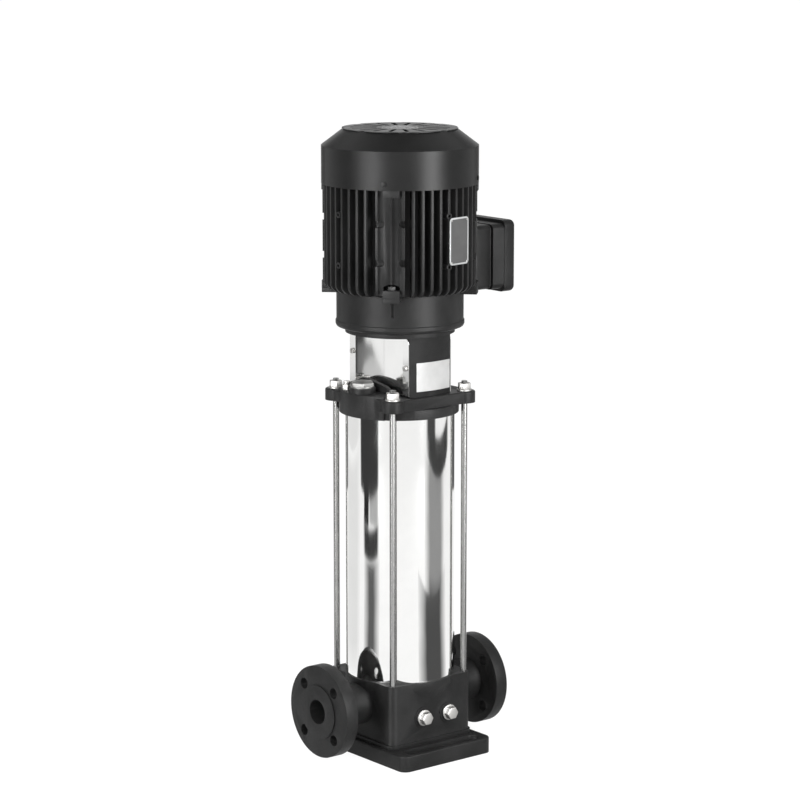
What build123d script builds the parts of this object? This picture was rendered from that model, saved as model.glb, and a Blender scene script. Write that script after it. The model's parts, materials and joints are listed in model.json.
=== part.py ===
from build123d import *
import math
import os

# Vertical multistage pump with a flange-mounted motor, in millimetres.
# The origin is on the pump axis at the underside of the base plate, +Z up.
# X runs along the pipe line, inlet at -X, and -Y is the front with the two plugs.

os.makedirs("parts", exist_ok=True)

# General clearances
seat_clearance = 0.1
wide_clearance = 0.3
running_clearance = 0.05

# Base plate
plate_width = 185.0
plate_depth = 252.0
plate_thickness = 26.0
plate_corner_radius = 14.0
plate_edge_fillet = 3.0
anchor_spacing_x = 90.0
anchor_spacing_y = 216.0
anchor_hole_radius = 7.0
pocket_length = 150.0
pocket_width = 22.0
pocket_depth = 7.0
plate_screw_spacing = 116.0
plate_screw_radius = 5.0
plate_screw_head_radius = 8.0
plate_screw_head_height = 8.0
plate_screw_reach = 14.0
plate_screw_socket = 4.0

# Base casting
casting_width = 166.0
casting_height = 103.0
casting_corner_radius = 12.0
casting_foot_height = 6.0
casting_foot_margin = 3.0
collar_radius = 92.0
collar_height = 12.0
collar_taper = 18.0
neck_radius = 34.0
port_height = 87.0
port_length = 340.0
port_bore_radius = 20.0
flange_radius = 75.0
flange_thickness = 25.0
raised_face_radius = 44.0
raised_face_height = 3.0
flange_bolt_circle = 110.0
flange_bolt_radius = 9.0
flange_bolt_count = 4
inlet_well_radius = 32.0
inlet_pipe_wall = 6.0
ring_channel_inner = 60.0
ring_channel_outer = 77.0
channel_floor_height = 62.0

# Front plugs
plug_left_x = -20.0
plug_right_x = 32.0
plug_height = 70.0
plug_boss_radius = 16.0
plug_boss_height = 2.0
plug_gasket_radius = 12.0
plug_gasket_thickness = 1.5
plug_collar_radius = 13.0
plug_collar_thickness = 3.0
plug_head_flats = 19.0
plug_head_height = 9.5
plug_shank_radius = 8.0
plug_shank_length = 10.0

# Outer sleeve and staybolts
sleeve_radius = 89.0
sleeve_wall = 2.5
spigot_height = 10.0
spigot_wall = 6.0
oring_radius = 1.5
oring_groove_width = 4.0
staybolt_spacing = 147.0
staybolt_radius = 5.0
staybolt_thread_depth = 24.0
nut_flats = 19.0
nut_height = 10.0
washer_radius = 12.0
washer_thickness = 2.0
staybolt_tip = 4.0

# Chamber stack
stage_count = 5
stage_pitch = 66.0
suction_part_height = 44.0
suction_foot_height = 5.0
suction_foot_slope = 4.0
suction_throat = 2.0
suction_wall = 4.0
suction_cone_height = 10.0
suction_rim_height = 5.0
suction_rim_width = 6.0
suction_bell_height = 12.0
top_chamber_height = 58.0
chamber_radius = 68.0
chamber_wall = 2.5
chamber_floor = 3.0
guide_disc_height = 34.0
guide_vane_count = 8
guide_vane_thickness = 2.0
strap_width = 14.0
strap_thickness = 1.5
strap_count = 4
strap_hook = 4.0
strap_top_gap = 2.0

# Impellers and pump shaft
impeller_radius = 57.0
impeller_height = 26.0
shroud_thickness = 2.0
eye_ring_radius = 30.0
eye_ring_wall = 2.5
eye_gap = 0.5
flow_gap = 1.5
blade_count = 6
blade_thickness = 2.0
blade_middle_lag = 16.0
blade_tip_lag = 42.0
hub_radius = 16.0
pump_shaft_radius = 11.0
pump_shaft_bottom = 96.0
shaft_chamfer = 1.5

# Pump head
head_collar_radius = 95.0
head_collar_height = 15.5
head_plate_width = 174.0
head_plate_thickness = 19.0
head_plate_corner = 14.0
head_edge_fillet = 2.5
ear_radius = 17.5
priming_boss_radius = 98.0
priming_boss_half_width = 58.0
priming_boss_start = 50.0
priming_boss_rise = 3.0
hump_outline = (
    (-66.0, -1.0),
    (-47.0, 4.5),
    (-32.0, 13.0),
    (9.0, 20.0),
    (28.0, 21.0),
    (60.0, 9.5),
    (64.0, -1.0),
)
hump_start = 48.0
hump_end = 55.0
seal_chamber_radius = 30.0

# Priming plug and vent valve on the head
priming_plug_x = -76.5
priming_plug_y = 0.0
priming_plug_head_radius = 18.5
priming_plug_head_height = 10.0
priming_plug_crown = 3.0
priming_plug_chamfer = 2.0
priming_plug_shank_radius = 14.0
priming_plug_shank_length = 12.0
priming_seat_radius = 21.0
priming_seat_height = 8.0
vent_x = -82.0
vent_y = 34.0
vent_body_flats = 13.0
vent_body_height = 9.0
vent_bore_radius = 2.6
vent_bore_floor = 3.0
vent_spindle_height = 9.0
vent_head_height = 5.0
vent_slot_width = 1.6
vent_slot_depth = 2.0
vent_shank_radius = 4.5
vent_shank_length = 12.0

# Shaft seal
seal_seat_thickness = 8.0
seal_seat_radius = 25.0
seal_ring_radius = 20.0
seal_ring_length = 20.0
seal_groove = 3.0

# Motor stool
stool_height = 104.0
stool_half_width = 41.6
stool_face_offset = 76.0
stool_face_crown = 82.0
stool_cavity_radius = 56.0
stool_foot_thickness = 10.0
stool_top_thickness = 9.0
stool_top_radius = 88.0
stool_shaft_hole_radius = 36.0
stool_bolt_circle = 91.0
stool_bolt_radius = 5.0
stool_bolt_flats = 16.0
stool_bolt_head = 6.5
stool_bolt_reach = 12.0
stool_bolt_angles = (62, 118, 242, 298)
flange_bolt_margin = 3.0

# Coupling guards
guard_thickness = 1.5
guard_strip = 15.0
guard_recess = 6.0
guard_bottom_gap = 2.0
guard_corner_radius = 9.0
guard_screw_radius = 2.5
guard_screw_head_radius = 4.5
guard_screw_head_height = 3.0
guard_screw_depth = 9.0
guard_screw_slot = 1.4
guard_screw_slot_depth = 1.2
guard_screw_near = 68.0
guard_screw_near_height = 47.0
guard_screw_far_height = 58.0

# Shaft coupling
coupling_radius = 34.0
coupling_height = 56.0
coupling_split = 1.5
coupling_bottom = 22.0
coupling_waist_depth = 2.0
coupling_waist_height = 6.0
coupling_chamfer = 1.5
coupling_screw_radius = 3.0
coupling_screw_head_radius = 5.0
coupling_screw_head_height = 6.0
coupling_screw_socket = 2.4
coupling_screw_seat = 11.0
coupling_screw_reach = 18.0
coupling_screw_offset = 23.0
coupling_screw_rise = 14.0

# Motor lower flange
motor_flange_height = 60.0
motor_flange_radius = 102.0
motor_flange_rim_radius = 103.4
motor_flange_rim_height = 10.0
motor_flange_rim_edge = 1.5
motor_flange_rim_round = 5.0
motor_flange_rim_step = 2.0
motor_flange_wall = 9.0
motor_flange_floor = 13.0
bell_groove_bottom = 27.5
bell_groove_height = 21.0
bell_groove_width = 5.0
bell_groove_depth = 3.0

# Motor shaft, bearings and windings
motor_shaft_radius = 16.0
motor_shaft_core_radius = 22.0
shaft_shoulder_drop = 4.0
bearing_outer_radius = 42.0
bearing_inner_ring = 6.0
bearing_ring_wall = 6.0
bearing_width = 18.0
bearing_housing_wall = 8.0
bearing_cap = 3.0
bearing_hub_flare = 3.0
core_length = 116.0
core_outer_radius = 88.0
rotor_core_radius = 54.0
air_gap = 1.0
winding_length = 16.0
winding_margin = 5.0
end_ring_height = 8.0
end_ring_inset = 3.0
end_ring_width = 12.0

# Finned housing
housing_height = 169.0
housing_bore_radius = 88.0
housing_root_radius = 101.0
fin_radius = 123.5
fin_thickness = 4.0
fin_pitch_angle = 7.2
front_fin_count = 9
side_fin_count = 8
fin_tail_height = 16.0
fin_tail_depth = 13.0
fin_tail_bulge = (0.24, 0.42)
pad_inset = 6.5
pad_rib_inset = 1.5
pad_rib_thickness = 3.0
pad_edge_thickness = 4.0
pad_edge_front_angle = 9.0
pad_edge_side_angle = 10.8
pad_slot_heights = (55.5, 116.5)
pad_slot_start = 11.0
pad_slot_end = 27.0
pad_slot_height = 11.0
pad_slot_depth = 9.0
boss_radius = 5.0
boss_rise = 0.5
boss_hole_radius = 2.5
boss_hole_depth = 8.0
boss_heights = (46.5, 126.5)
lug_width = 26.0
lug_rise = 1.0
lug_root = 8.0
lug_height = 12.5
lug_ear_height = 7.0
lug_pocket_height = 5.5
lug_pocket_rise = 4.0
upper_lug_height = 11.0
lug_bolt_radius = 4.0
lug_bolt_inset = 9.5
lug_bolt_flats = 12.0
lug_bolt_head = 6.0
shield_bolt_offset = 7.0
shield_bolt_reach = 12.0
box_seat_inset = 5.5
box_seat_half_width = 46.0
box_seat_bottom = -11.0
box_seat_height = 105.0

# Upper end shield, fan and fan cover
end_shield_thickness = 9.0
end_shield_rim = 5.0
cover_overlap = 1.9
cover_wall = 2.5
cover_skirt_bottom = 0.0
cover_skirt_height = 60.5
cover_cone_height = 27.3
cover_cone_inset = 34.4
cover_plate_radius = 92.5
cover_plate_thickness = 1.3
cover_notch_count = 8
cover_notch_angle = 10.0
cover_notch_radius = 16.0
cover_notch_depth = 3.5
cover_recess_radius = 28.0
cover_recess_depth = 4.0
cover_slot_count = 18
cover_slot_inner = 38.0
cover_slot_outer = 80.0
cover_slot_width = 6.5
cover_screw_height = 10.0
cover_screw_turn = -5.2
cover_screw_radius = 2.5
cover_screw_head_radius = 4.0
cover_screw_head_height = 1.6
cover_tab_width = 16.0
cover_tab_height = 19.0
cover_tab_inset = 9.4
fan_clearance = 10.0
fan_tip_gap = 19.4
fan_hub_radius = 30.0
fan_disc_radius = 74.0
fan_disc_thickness = 3.0
fan_blade_height = 38.0
fan_blade_count = 8
fan_blade_thickness = 3.0
shaft_tail = 34.0

# Terminal box on the +X side
box_neck_depth = 32.0
box_lid_depth = 47.5
box_lid_half_width = 53.0
box_lid_margin = 6.0
box_lid_rim_depth = 24.0
box_lid_step = 1.0
box_lid_edge_radius = 7.0
box_post_radius = 6.0
wire_hole_radius = 14.0
box_corner_radius = 8.0
box_wall = 3.0
box_gasket_thickness = 1.0
box_back_wall = 4.0
board_width = 56.0
board_height = 40.0
board_thickness = 10.0
board_stud_radius = 2.5
board_stud_length = 8.0
lid_screw_radius = 2.5
lid_screw_head_radius = 4.5
lid_screw_head_height = 2.5
lid_screw_inset = 7.0
gland_height = 26.0
blanking_height = 66.0
gland_radius = 10.0
gland_flats = 27.0
gland_bore_radius = 6.5
gland_length = 20.0
gland_nut_height = 6.0
gland_taper = 8.0
blanking_head_height = 5.0
gland_shank = 9.0

# Nameplate
nameplate_angle = -80.5
nameplate_width = 44.0
nameplate_height = 74.5
nameplate_corner = 6.0
nameplate_thickness = 1.0
nameplate_bottom = 49.0
nameplate_gap = 0.1
rivet_radius = 1.6
rivet_head = 0.8
rivet_inset = 4.0

# Levels and radii that follow from the sizes above
casting_top = plate_thickness + casting_height
flange_face = port_length / 2
sleeve_inner = sleeve_radius - sleeve_wall
spigot_radius = sleeve_inner - wide_clearance
stack_bottom = casting_top + suction_part_height
stack_top = stack_bottom + stage_count * stage_pitch
head_bottom = stack_top + top_chamber_height
head_plate_bottom = head_bottom + head_collar_height
head_top = head_plate_bottom + head_plate_thickness
stool_top = head_top + stool_height
coupling_base = head_top + coupling_bottom
shaft_joint = coupling_base + coupling_height / 2
housing_bottom = stool_top + motor_flange_height
housing_top = housing_bottom + housing_height
core_bottom = housing_bottom + (housing_height - core_length) / 2
core_top = core_bottom + core_length
shield_top = housing_top + end_shield_thickness
cover_bottom = housing_top + cover_skirt_bottom
cover_shoulder = cover_bottom + cover_skirt_height
cover_top = cover_shoulder + cover_cone_height
fan_bottom = shield_top + fan_clearance
lower_bearing_bottom = stool_top + motor_flange_floor + 2 * seat_clearance
upper_bearing_top = shield_top - bearing_cap
staybolt_half = staybolt_spacing / 2
staybolt_clamp = head_top - casting_top + washer_thickness + nut_height
staybolt_length = staybolt_thread_depth + staybolt_clamp + staybolt_tip
fin_base_radius = housing_root_radius - 2.0
pad_radius = fin_radius - pad_inset
pad_rib_radius = fin_radius - pad_rib_inset
boss_reach = fin_radius + boss_rise
lug_reach = fin_radius + lug_rise
lug_inner_radius = housing_bore_radius + lug_root
lug_bolt_circle = 2 * (fin_radius - lug_bolt_inset)
shield_bolt_circle = 2 * (housing_root_radius + shield_bolt_offset)
end_shield_radius = housing_root_radius + end_shield_rim
cover_radius = fin_radius + cover_overlap
cover_top_radius = cover_radius - cover_cone_inset
cover_tab_inner = cover_radius - cover_tab_inset
fan_radius = cover_radius - fan_tip_gap
box_face = fin_radius - box_seat_inset
box_joint = box_face + box_neck_depth
box_bottom = housing_bottom + box_seat_bottom
box_centre = box_bottom + box_seat_height / 2
stool_bolt_radial = stool_bolt_circle / 2
stool_bolt_places = [
    (
        stool_bolt_radial * math.cos(math.radians(angle)),
        stool_bolt_radial * math.sin(math.radians(angle)),
    )
    for angle in stool_bolt_angles
]
staybolt_places = [
    (sx * staybolt_half, sy * staybolt_half) for sx in (-1, 1) for sy in (-1, 1)
]


# Base plate: anchor holes stand in two long pockets in front of and behind the casting.
with BuildPart() as base_plate:
    with BuildSketch():
        RectangleRounded(plate_width, plate_depth, plate_corner_radius)
    extrude(amount=plate_thickness)
    fillet(base_plate.faces().sort_by(Axis.Z)[-1].outer_wire().edges(), plate_edge_fillet)
    with BuildSketch(Plane.XY.offset(plate_thickness)):
        with GridLocations(0, anchor_spacing_y, 1, 2):
            SlotOverall(pocket_length, pocket_width)
    extrude(amount=-pocket_depth, mode=Mode.SUBTRACT)
    with BuildSketch():
        with GridLocations(anchor_spacing_x, anchor_spacing_y, 2, 2):
            Circle(anchor_hole_radius)
        with GridLocations(plate_screw_spacing, plate_screw_spacing, 2, 2):
            Circle(plate_screw_radius + seat_clearance)
    extrude(amount=plate_thickness, mode=Mode.SUBTRACT)
    with BuildSketch():
        with GridLocations(plate_screw_spacing, plate_screw_spacing, 2, 2):
            Circle(plate_screw_head_radius + wide_clearance)
    extrude(amount=plate_screw_head_height + seat_clearance, mode=Mode.SUBTRACT)

base_plate.part.label = "base_plate"
export_step(base_plate.part, "parts/base_plate.step")


# Base casting: a square bowl with a round collar, two flanged ports in line,
# an inlet well in the middle and a ring channel that collects the outflow.
front_plane = Plane(
    origin=(0, -casting_width / 2, plug_height), x_dir=(1, 0, 0), z_dir=(0, -1, 0)
)
plug_places = [(plug_left_x, 0), (plug_right_x, 0)]

with BuildPart() as base_casting:
    with BuildSketch(Plane.XY.offset(plate_thickness)):
        RectangleRounded(casting_width, casting_width, casting_corner_radius)
    extrude(amount=casting_height)
    foot_width = casting_width + 2 * casting_foot_margin
    with BuildSketch(Plane.XY.offset(plate_thickness)):
        RectangleRounded(foot_width, foot_width, casting_corner_radius + casting_foot_margin)
    extrude(amount=casting_foot_height)
    with BuildSketch(Plane.XZ):
        with BuildLine():
            Polyline(
                (0, casting_top - collar_height - collar_taper),
                (casting_width / 2, casting_top - collar_height - collar_taper),
                (collar_radius, casting_top - collar_height),
                (collar_radius, casting_top),
                (0, casting_top),
                close=True,
            )
        make_face()
    revolve(axis=Axis.Z)
    with BuildSketch(Plane.YZ.offset(-flange_face)):
        with Locations((0, port_height)):
            Circle(neck_radius)
    extrude(amount=port_length)
    for side in (-1, 1):
        with BuildSketch(Plane.YZ.offset(side * flange_face)):
            with Locations((0, port_height)):
                Circle(raised_face_radius)
        extrude(amount=-side * flange_thickness)
    with BuildSketch(Plane.YZ.offset(-flange_face + raised_face_height)):
        with Locations((0, port_height)):
            Circle(flange_radius)
    extrude(amount=flange_thickness - raised_face_height)
    with BuildSketch(Plane.YZ.offset(flange_face - raised_face_height)):
        with Locations((0, port_height)):
            Circle(flange_radius)
    extrude(amount=-(flange_thickness - raised_face_height))
    with BuildSketch(front_plane):
        with Locations(*plug_places):
            Circle(plug_boss_radius)
    extrude(amount=plug_boss_height)
    # Spigot that centres the sleeve, with its ring groove
    with BuildSketch(Plane.XY.offset(casting_top)):
        Circle(spigot_radius)
        Circle(spigot_radius - spigot_wall, mode=Mode.SUBTRACT)
    extrude(amount=spigot_height)
    with BuildSketch(Plane.XY.offset(casting_top + (spigot_height - oring_groove_width) / 2)):
        Circle(spigot_radius)
        Circle(spigot_radius - 2 * oring_radius, mode=Mode.SUBTRACT)
    extrude(amount=oring_groove_width, mode=Mode.SUBTRACT)
    # Waterways
    with BuildSketch(Plane.XY.offset(port_height - port_bore_radius)):
        Circle(inlet_well_radius)
    extrude(amount=casting_top - port_height + port_bore_radius, mode=Mode.SUBTRACT)
    with BuildSketch(Plane.XY.offset(channel_floor_height)):
        Circle(ring_channel_outer)
        Circle(ring_channel_inner, mode=Mode.SUBTRACT)
    extrude(amount=casting_top - channel_floor_height, mode=Mode.SUBTRACT)
    # The inlet crosses the ring channel inside a pipe of its own
    with BuildSketch(Plane.YZ.offset(-casting_width / 2)):
        with Locations((0, port_height)):
            Circle(port_bore_radius + inlet_pipe_wall)
    extrude(amount=casting_width / 2 - inlet_well_radius)
    with BuildSketch(Plane.YZ.offset(-flange_face)):
        with Locations((0, port_height)):
            Circle(port_bore_radius)
    extrude(amount=flange_face, mode=Mode.SUBTRACT)
    with BuildSketch(Plane.YZ.offset(flange_face)):
        with Locations((0, port_height)):
            Circle(port_bore_radius)
    extrude(amount=-(flange_face - ring_channel_inner), mode=Mode.SUBTRACT)
    # Flange bolt holes, two each side of the vertical
    with BuildSketch(Plane.YZ.offset(-flange_face)):
        with Locations((0, port_height)):
            with PolarLocations(flange_bolt_circle / 2, flange_bolt_count, 45):
                Circle(flange_bolt_radius)
    extrude(amount=flange_thickness, mode=Mode.SUBTRACT)
    with BuildSketch(Plane.YZ.offset(flange_face)):
        with Locations((0, port_height)):
            with PolarLocations(flange_bolt_circle / 2, flange_bolt_count, 45):
                Circle(flange_bolt_radius)
    extrude(amount=-flange_thickness, mode=Mode.SUBTRACT)
    # Threaded holes for the staybolts, the plugs and the plate screws
    with BuildSketch(Plane.XY.offset(casting_top)):
        with Locations(*staybolt_places):
            Circle(staybolt_radius + seat_clearance)
    extrude(amount=-(staybolt_thread_depth + seat_clearance), mode=Mode.SUBTRACT)
    with BuildSketch(front_plane.offset(plug_boss_height)):
        with Locations(*plug_places):
            Circle(plug_shank_radius + seat_clearance)
    extrude(amount=-(plug_shank_length + plug_boss_height), mode=Mode.SUBTRACT)
    with BuildSketch(Plane.XY.offset(plate_thickness)):
        with GridLocations(plate_screw_spacing, plate_screw_spacing, 2, 2):
            Circle(plate_screw_radius + seat_clearance)
    extrude(amount=plate_screw_reach + seat_clearance, mode=Mode.SUBTRACT)

base_casting.part.label = "base_casting"
export_step(base_casting.part, "parts/base_casting.step")


# Screws that hold the plate to the casting from below
with BuildPart() as base_plate_screws:
    with BuildSketch():
        with GridLocations(plate_screw_spacing, plate_screw_spacing, 2, 2):
            Circle(plate_screw_head_radius)
    extrude(amount=plate_screw_head_height)
    with BuildSketch(Plane.XY.offset(plate_screw_head_height)):
        with GridLocations(plate_screw_spacing, plate_screw_spacing, 2, 2):
            Circle(plate_screw_radius)
    extrude(amount=plate_thickness - plate_screw_head_height + plate_screw_reach)
    with BuildSketch():
        with GridLocations(plate_screw_spacing, plate_screw_spacing, 2, 2):
            RegularPolygon(plate_screw_socket, 6, major_radius=False)
    extrude(amount=plate_screw_head_height / 2, mode=Mode.SUBTRACT)

base_plate_screws.part.label = "base_plate_screws"
export_step(base_plate_screws.part, "parts/base_plate_screws.step")


# Two hexagon plugs with collars on the front of the casting
gasket_plane = front_plane.offset(plug_boss_height)
collar_plane = gasket_plane.offset(plug_gasket_thickness)

with BuildPart() as plug_gaskets:
    with BuildSketch(gasket_plane):
        with Locations(*plug_places):
            Circle(plug_gasket_radius)
        with Locations(*plug_places):
            Circle(plug_shank_radius + seat_clearance, mode=Mode.SUBTRACT)
    extrude(amount=plug_gasket_thickness)

plug_gaskets.part.label = "plug_gaskets"
export_step(plug_gaskets.part, "parts/plug_gaskets.step")

with BuildPart() as drain_plugs:
    with BuildSketch(collar_plane):
        with Locations(*plug_places):
            Circle(plug_collar_radius)
    extrude(amount=plug_collar_thickness)
    with BuildSketch(collar_plane.offset(plug_collar_thickness)):
        with Locations(*plug_places):
            RegularPolygon(plug_head_flats / 2, 6, major_radius=False)
    extrude(amount=plug_head_height)
    chamfer(drain_plugs.faces().sort_by(Axis.Y)[:2].edges(), 1.0)
    with BuildSketch(collar_plane):
        with Locations(*plug_places):
            Circle(plug_shank_radius)
    extrude(amount=-plug_shank_length)

drain_plugs.part.label = "drain_plugs"
export_step(drain_plugs.part, "parts/drain_plugs.step")


# Polished outer sleeve between the casting and the head
with BuildPart() as outer_sleeve:
    with BuildSketch(Plane.XY.offset(casting_top)):
        Circle(sleeve_radius)
        Circle(sleeve_inner, mode=Mode.SUBTRACT)
    extrude(amount=head_bottom - casting_top)

outer_sleeve.part.label = "outer_sleeve"
export_step(outer_sleeve.part, "parts/outer_sleeve.step")


# One sealing ring in each spigot groove
oring_centre = sleeve_inner - oring_radius - seat_clearance

with BuildPart() as sleeve_o_rings:
    with BuildSketch(Plane.XZ):
        with Locations(
            (oring_centre, casting_top + spigot_height / 2),
            (oring_centre, head_bottom - spigot_height / 2),
        ):
            RegularPolygon(oring_radius, 6)
    revolve(axis=Axis.Z)

sleeve_o_rings.part.label = "sleeve_o_rings"
export_step(sleeve_o_rings.part, "parts/sleeve_o_rings.step")


# Four long staybolts clamp the head, the sleeve and the casting together
with BuildPart() as staybolts:
    with BuildSketch(Plane.XY.offset(casting_top - staybolt_thread_depth)):
        with Locations(*staybolt_places):
            Circle(staybolt_radius)
    extrude(amount=staybolt_length)

staybolts.part.label = "staybolts"
export_step(staybolts.part, "parts/staybolts.step")

with BuildPart() as staybolt_washers:
    with BuildSketch(Plane.XY.offset(head_top)):
        with Locations(*staybolt_places):
            Circle(washer_radius)
        with Locations(*staybolt_places):
            Circle(staybolt_radius + seat_clearance, mode=Mode.SUBTRACT)
    extrude(amount=washer_thickness)

staybolt_washers.part.label = "staybolt_washers"
export_step(staybolt_washers.part, "parts/staybolt_washers.step")

with BuildPart() as staybolt_nuts:
    with BuildSketch(Plane.XY.offset(head_top + washer_thickness)):
        with Locations(*staybolt_places):
            RegularPolygon(nut_flats / 2, 6, major_radius=False)
        with Locations(*staybolt_places):
            Circle(staybolt_radius + seat_clearance, mode=Mode.SUBTRACT)
    extrude(amount=nut_height)

staybolt_nuts.part.label = "staybolt_nuts"
export_step(staybolt_nuts.part, "parts/staybolt_nuts.step")


# Suction part: a stepped funnel from the inlet well up to the first impeller eye
suction_foot_radius = ring_channel_inner - suction_throat
suction_pipe_radius = inlet_well_radius + suction_wall

with BuildPart() as suction_part:
    with BuildSketch(Plane.XZ):
        with BuildLine():
            Polyline(
                (inlet_well_radius - suction_throat, casting_top),
                (suction_foot_radius, casting_top),
                (suction_foot_radius, casting_top + suction_foot_height),
                (suction_pipe_radius, casting_top + suction_foot_height + suction_foot_slope),
                (inlet_well_radius + suction_rim_width, stack_bottom - suction_cone_height),
                (chamber_radius - suction_rim_width, stack_bottom - suction_rim_height),
                (chamber_radius, stack_bottom - suction_rim_height),
                (chamber_radius, stack_bottom),
                (inlet_well_radius, stack_bottom),
                (inlet_well_radius - suction_throat, stack_bottom - suction_bell_height),
                close=True,
            )
        make_face()
    revolve(axis=Axis.Z)

suction_part.part.label = "suction_part"
export_step(suction_part.part, "parts/suction_part.step")


# Chambers: a drawn cup with an eye hole, a guide disc and return vanes above the impeller
eye_hole_radius = eye_ring_radius + eye_gap
chamber_bore = chamber_radius - chamber_wall
shaft_pass_radius = pump_shaft_radius + flow_gap
guide_disc_radius = impeller_radius + flow_gap

for stage in range(stage_count):
    floor_level = stack_bottom + stage * stage_pitch
    disc_level = floor_level + guide_disc_height
    with BuildPart() as chamber:
        with BuildSketch(Plane.XY.offset(floor_level)):
            Circle(chamber_radius)
            Circle(eye_hole_radius, mode=Mode.SUBTRACT)
        extrude(amount=chamber_floor)
        with BuildSketch(Plane.XY.offset(floor_level)):
            Circle(chamber_radius)
            Circle(chamber_bore, mode=Mode.SUBTRACT)
        extrude(amount=stage_pitch)
        with BuildSketch(Plane.XY.offset(disc_level)):
            Circle(guide_disc_radius)
            Circle(shaft_pass_radius, mode=Mode.SUBTRACT)
        extrude(amount=guide_vane_thickness)
        with BuildSketch(Plane.XY.offset(disc_level)):
            with PolarLocations((chamber_bore + eye_ring_radius) / 2, guide_vane_count):
                Rectangle(chamber_bore - eye_ring_radius + chamber_wall, guide_vane_thickness)
        extrude(amount=stage_pitch - guide_disc_height)

    chamber.part.label = f"chamber_{stage + 1}"
    export_step(chamber.part, f"parts/chamber_{stage + 1}.step")


# Top chamber: windows in its wall let the water out into the sleeve space
window_height = top_chamber_height / 2
window_width = chamber_radius / 2

with BuildPart() as top_chamber:
    with BuildSketch(Plane.XY.offset(stack_top)):
        Circle(chamber_radius)
        Circle(chamber_bore, mode=Mode.SUBTRACT)
    extrude(amount=top_chamber_height)
    with BuildSketch(Plane.XY.offset(stack_top)):
        Circle(chamber_radius)
        Circle(shaft_pass_radius, mode=Mode.SUBTRACT)
    extrude(amount=chamber_floor)
    with BuildSketch(Plane.XY.offset(head_bottom - chamber_floor)):
        Circle(chamber_radius)
        Circle(seal_chamber_radius, mode=Mode.SUBTRACT)
    extrude(amount=chamber_floor)
    with BuildSketch(Plane.XZ.offset(-2 * chamber_radius)):
        with Locations((0, stack_top + top_chamber_height / 2)):
            Rectangle(window_width, window_height)
    extrude(amount=4 * chamber_radius, mode=Mode.SUBTRACT)
    with BuildSketch(Plane.YZ.offset(-2 * chamber_radius)):
        with Locations((0, stack_top + top_chamber_height / 2)):
            Rectangle(window_width, window_height)
    extrude(amount=4 * chamber_radius, mode=Mode.SUBTRACT)

top_chamber.part.label = "top_chamber"
export_step(top_chamber.part, "parts/top_chamber.step")


# Straps that hold the chamber stack together, hooked under the suction part
strap_inner = chamber_radius + wide_clearance
strap_middle = strap_inner + strap_thickness / 2
strap_bottom = stack_bottom - suction_rim_height - strap_thickness

with BuildPart() as chamber_straps:
    with BuildSketch(Plane.XY.offset(strap_bottom)):
        with PolarLocations(strap_middle, strap_count, 45):
            Rectangle(strap_thickness, strap_width)
    extrude(amount=head_bottom - strap_top_gap - strap_bottom)
    with BuildSketch(Plane.XY.offset(strap_bottom - wide_clearance)):
        with PolarLocations(strap_middle - strap_hook / 2, strap_count, 45):
            Rectangle(strap_thickness + strap_hook, strap_width)
    extrude(amount=strap_thickness)

chamber_straps.part.label = "chamber_straps"
export_step(chamber_straps.part, "parts/chamber_straps.step")


# Impellers: two shrouds with six backward-curved blades, keyed to the pump shaft
eye_bore = eye_ring_radius - eye_ring_wall
wheel_gap = 2.0
shaft_fit_radius = pump_shaft_radius + running_clearance

blade_root_radius = eye_ring_radius + 1.0
blade_tip_radius = impeller_radius - 1.0
blade_middle_radius = (blade_root_radius + blade_tip_radius) / 2


def blade_point(radius, lag, side):
    """Return a point on one face of a blade, lag degrees behind the blade's root."""
    turn = math.radians(-lag) + side * blade_thickness / (2 * radius)
    return (radius * math.cos(turn), radius * math.sin(turn))


with BuildSketch() as blade_profile:
    with BuildLine():
        front = [
            blade_point(blade_root_radius, 0, 1),
            blade_point(blade_middle_radius, blade_middle_lag, 1),
            blade_point(blade_tip_radius, blade_tip_lag, 1),
        ]
        back = [
            blade_point(blade_tip_radius, blade_tip_lag, -1),
            blade_point(blade_middle_radius, blade_middle_lag, -1),
            blade_point(blade_root_radius, 0, -1),
        ]
        ThreePointArc(*front)
        Line(front[2], back[0])
        ThreePointArc(*back)
        Line(back[2], front[0])
    make_face()

for stage in range(stage_count):
    wheel_bottom = stack_bottom + stage * stage_pitch + chamber_floor + wheel_gap
    with BuildPart() as impeller:
        with BuildSketch(Plane.XZ):
            with BuildLine():
                Polyline(
                    (eye_bore, wheel_bottom - wheel_gap - chamber_floor),
                    (eye_ring_radius, wheel_bottom - wheel_gap - chamber_floor),
                    (eye_ring_radius, wheel_bottom),
                    (impeller_radius, wheel_bottom),
                    (impeller_radius, wheel_bottom + shroud_thickness),
                    (eye_bore, wheel_bottom + shroud_thickness),
                    close=True,
                )
            make_face()
        revolve(axis=Axis.Z)
        with BuildSketch(Plane.XY.offset(wheel_bottom)):
            with PolarLocations(0, blade_count):
                add(blade_profile.sketch)
        extrude(amount=impeller_height)
        with BuildSketch(Plane.XY.offset(wheel_bottom + impeller_height - shroud_thickness)):
            Circle(impeller_radius)
        extrude(amount=shroud_thickness)
        with BuildSketch(Plane.XY.offset(wheel_bottom)):
            Circle(hub_radius)
        extrude(amount=impeller_height)
        with BuildSketch(Plane.XY.offset(wheel_bottom)):
            Circle(shaft_fit_radius)
        extrude(amount=impeller_height, mode=Mode.SUBTRACT)

    impeller.part.label = f"impeller_{stage + 1}"
    export_step(impeller.part, f"parts/impeller_{stage + 1}.step")


# Pump shaft
with BuildPart() as pump_shaft:
    with BuildSketch(Plane.XY.offset(pump_shaft_bottom)):
        Circle(pump_shaft_radius)
    extrude(amount=shaft_joint - 1 - pump_shaft_bottom)
    chamfer(pump_shaft.edges().filter_by(GeomType.CIRCLE), shaft_chamfer)

pump_shaft.part.label = "pump_shaft"
export_step(pump_shaft.part, "parts/pump_shaft.step")


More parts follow.
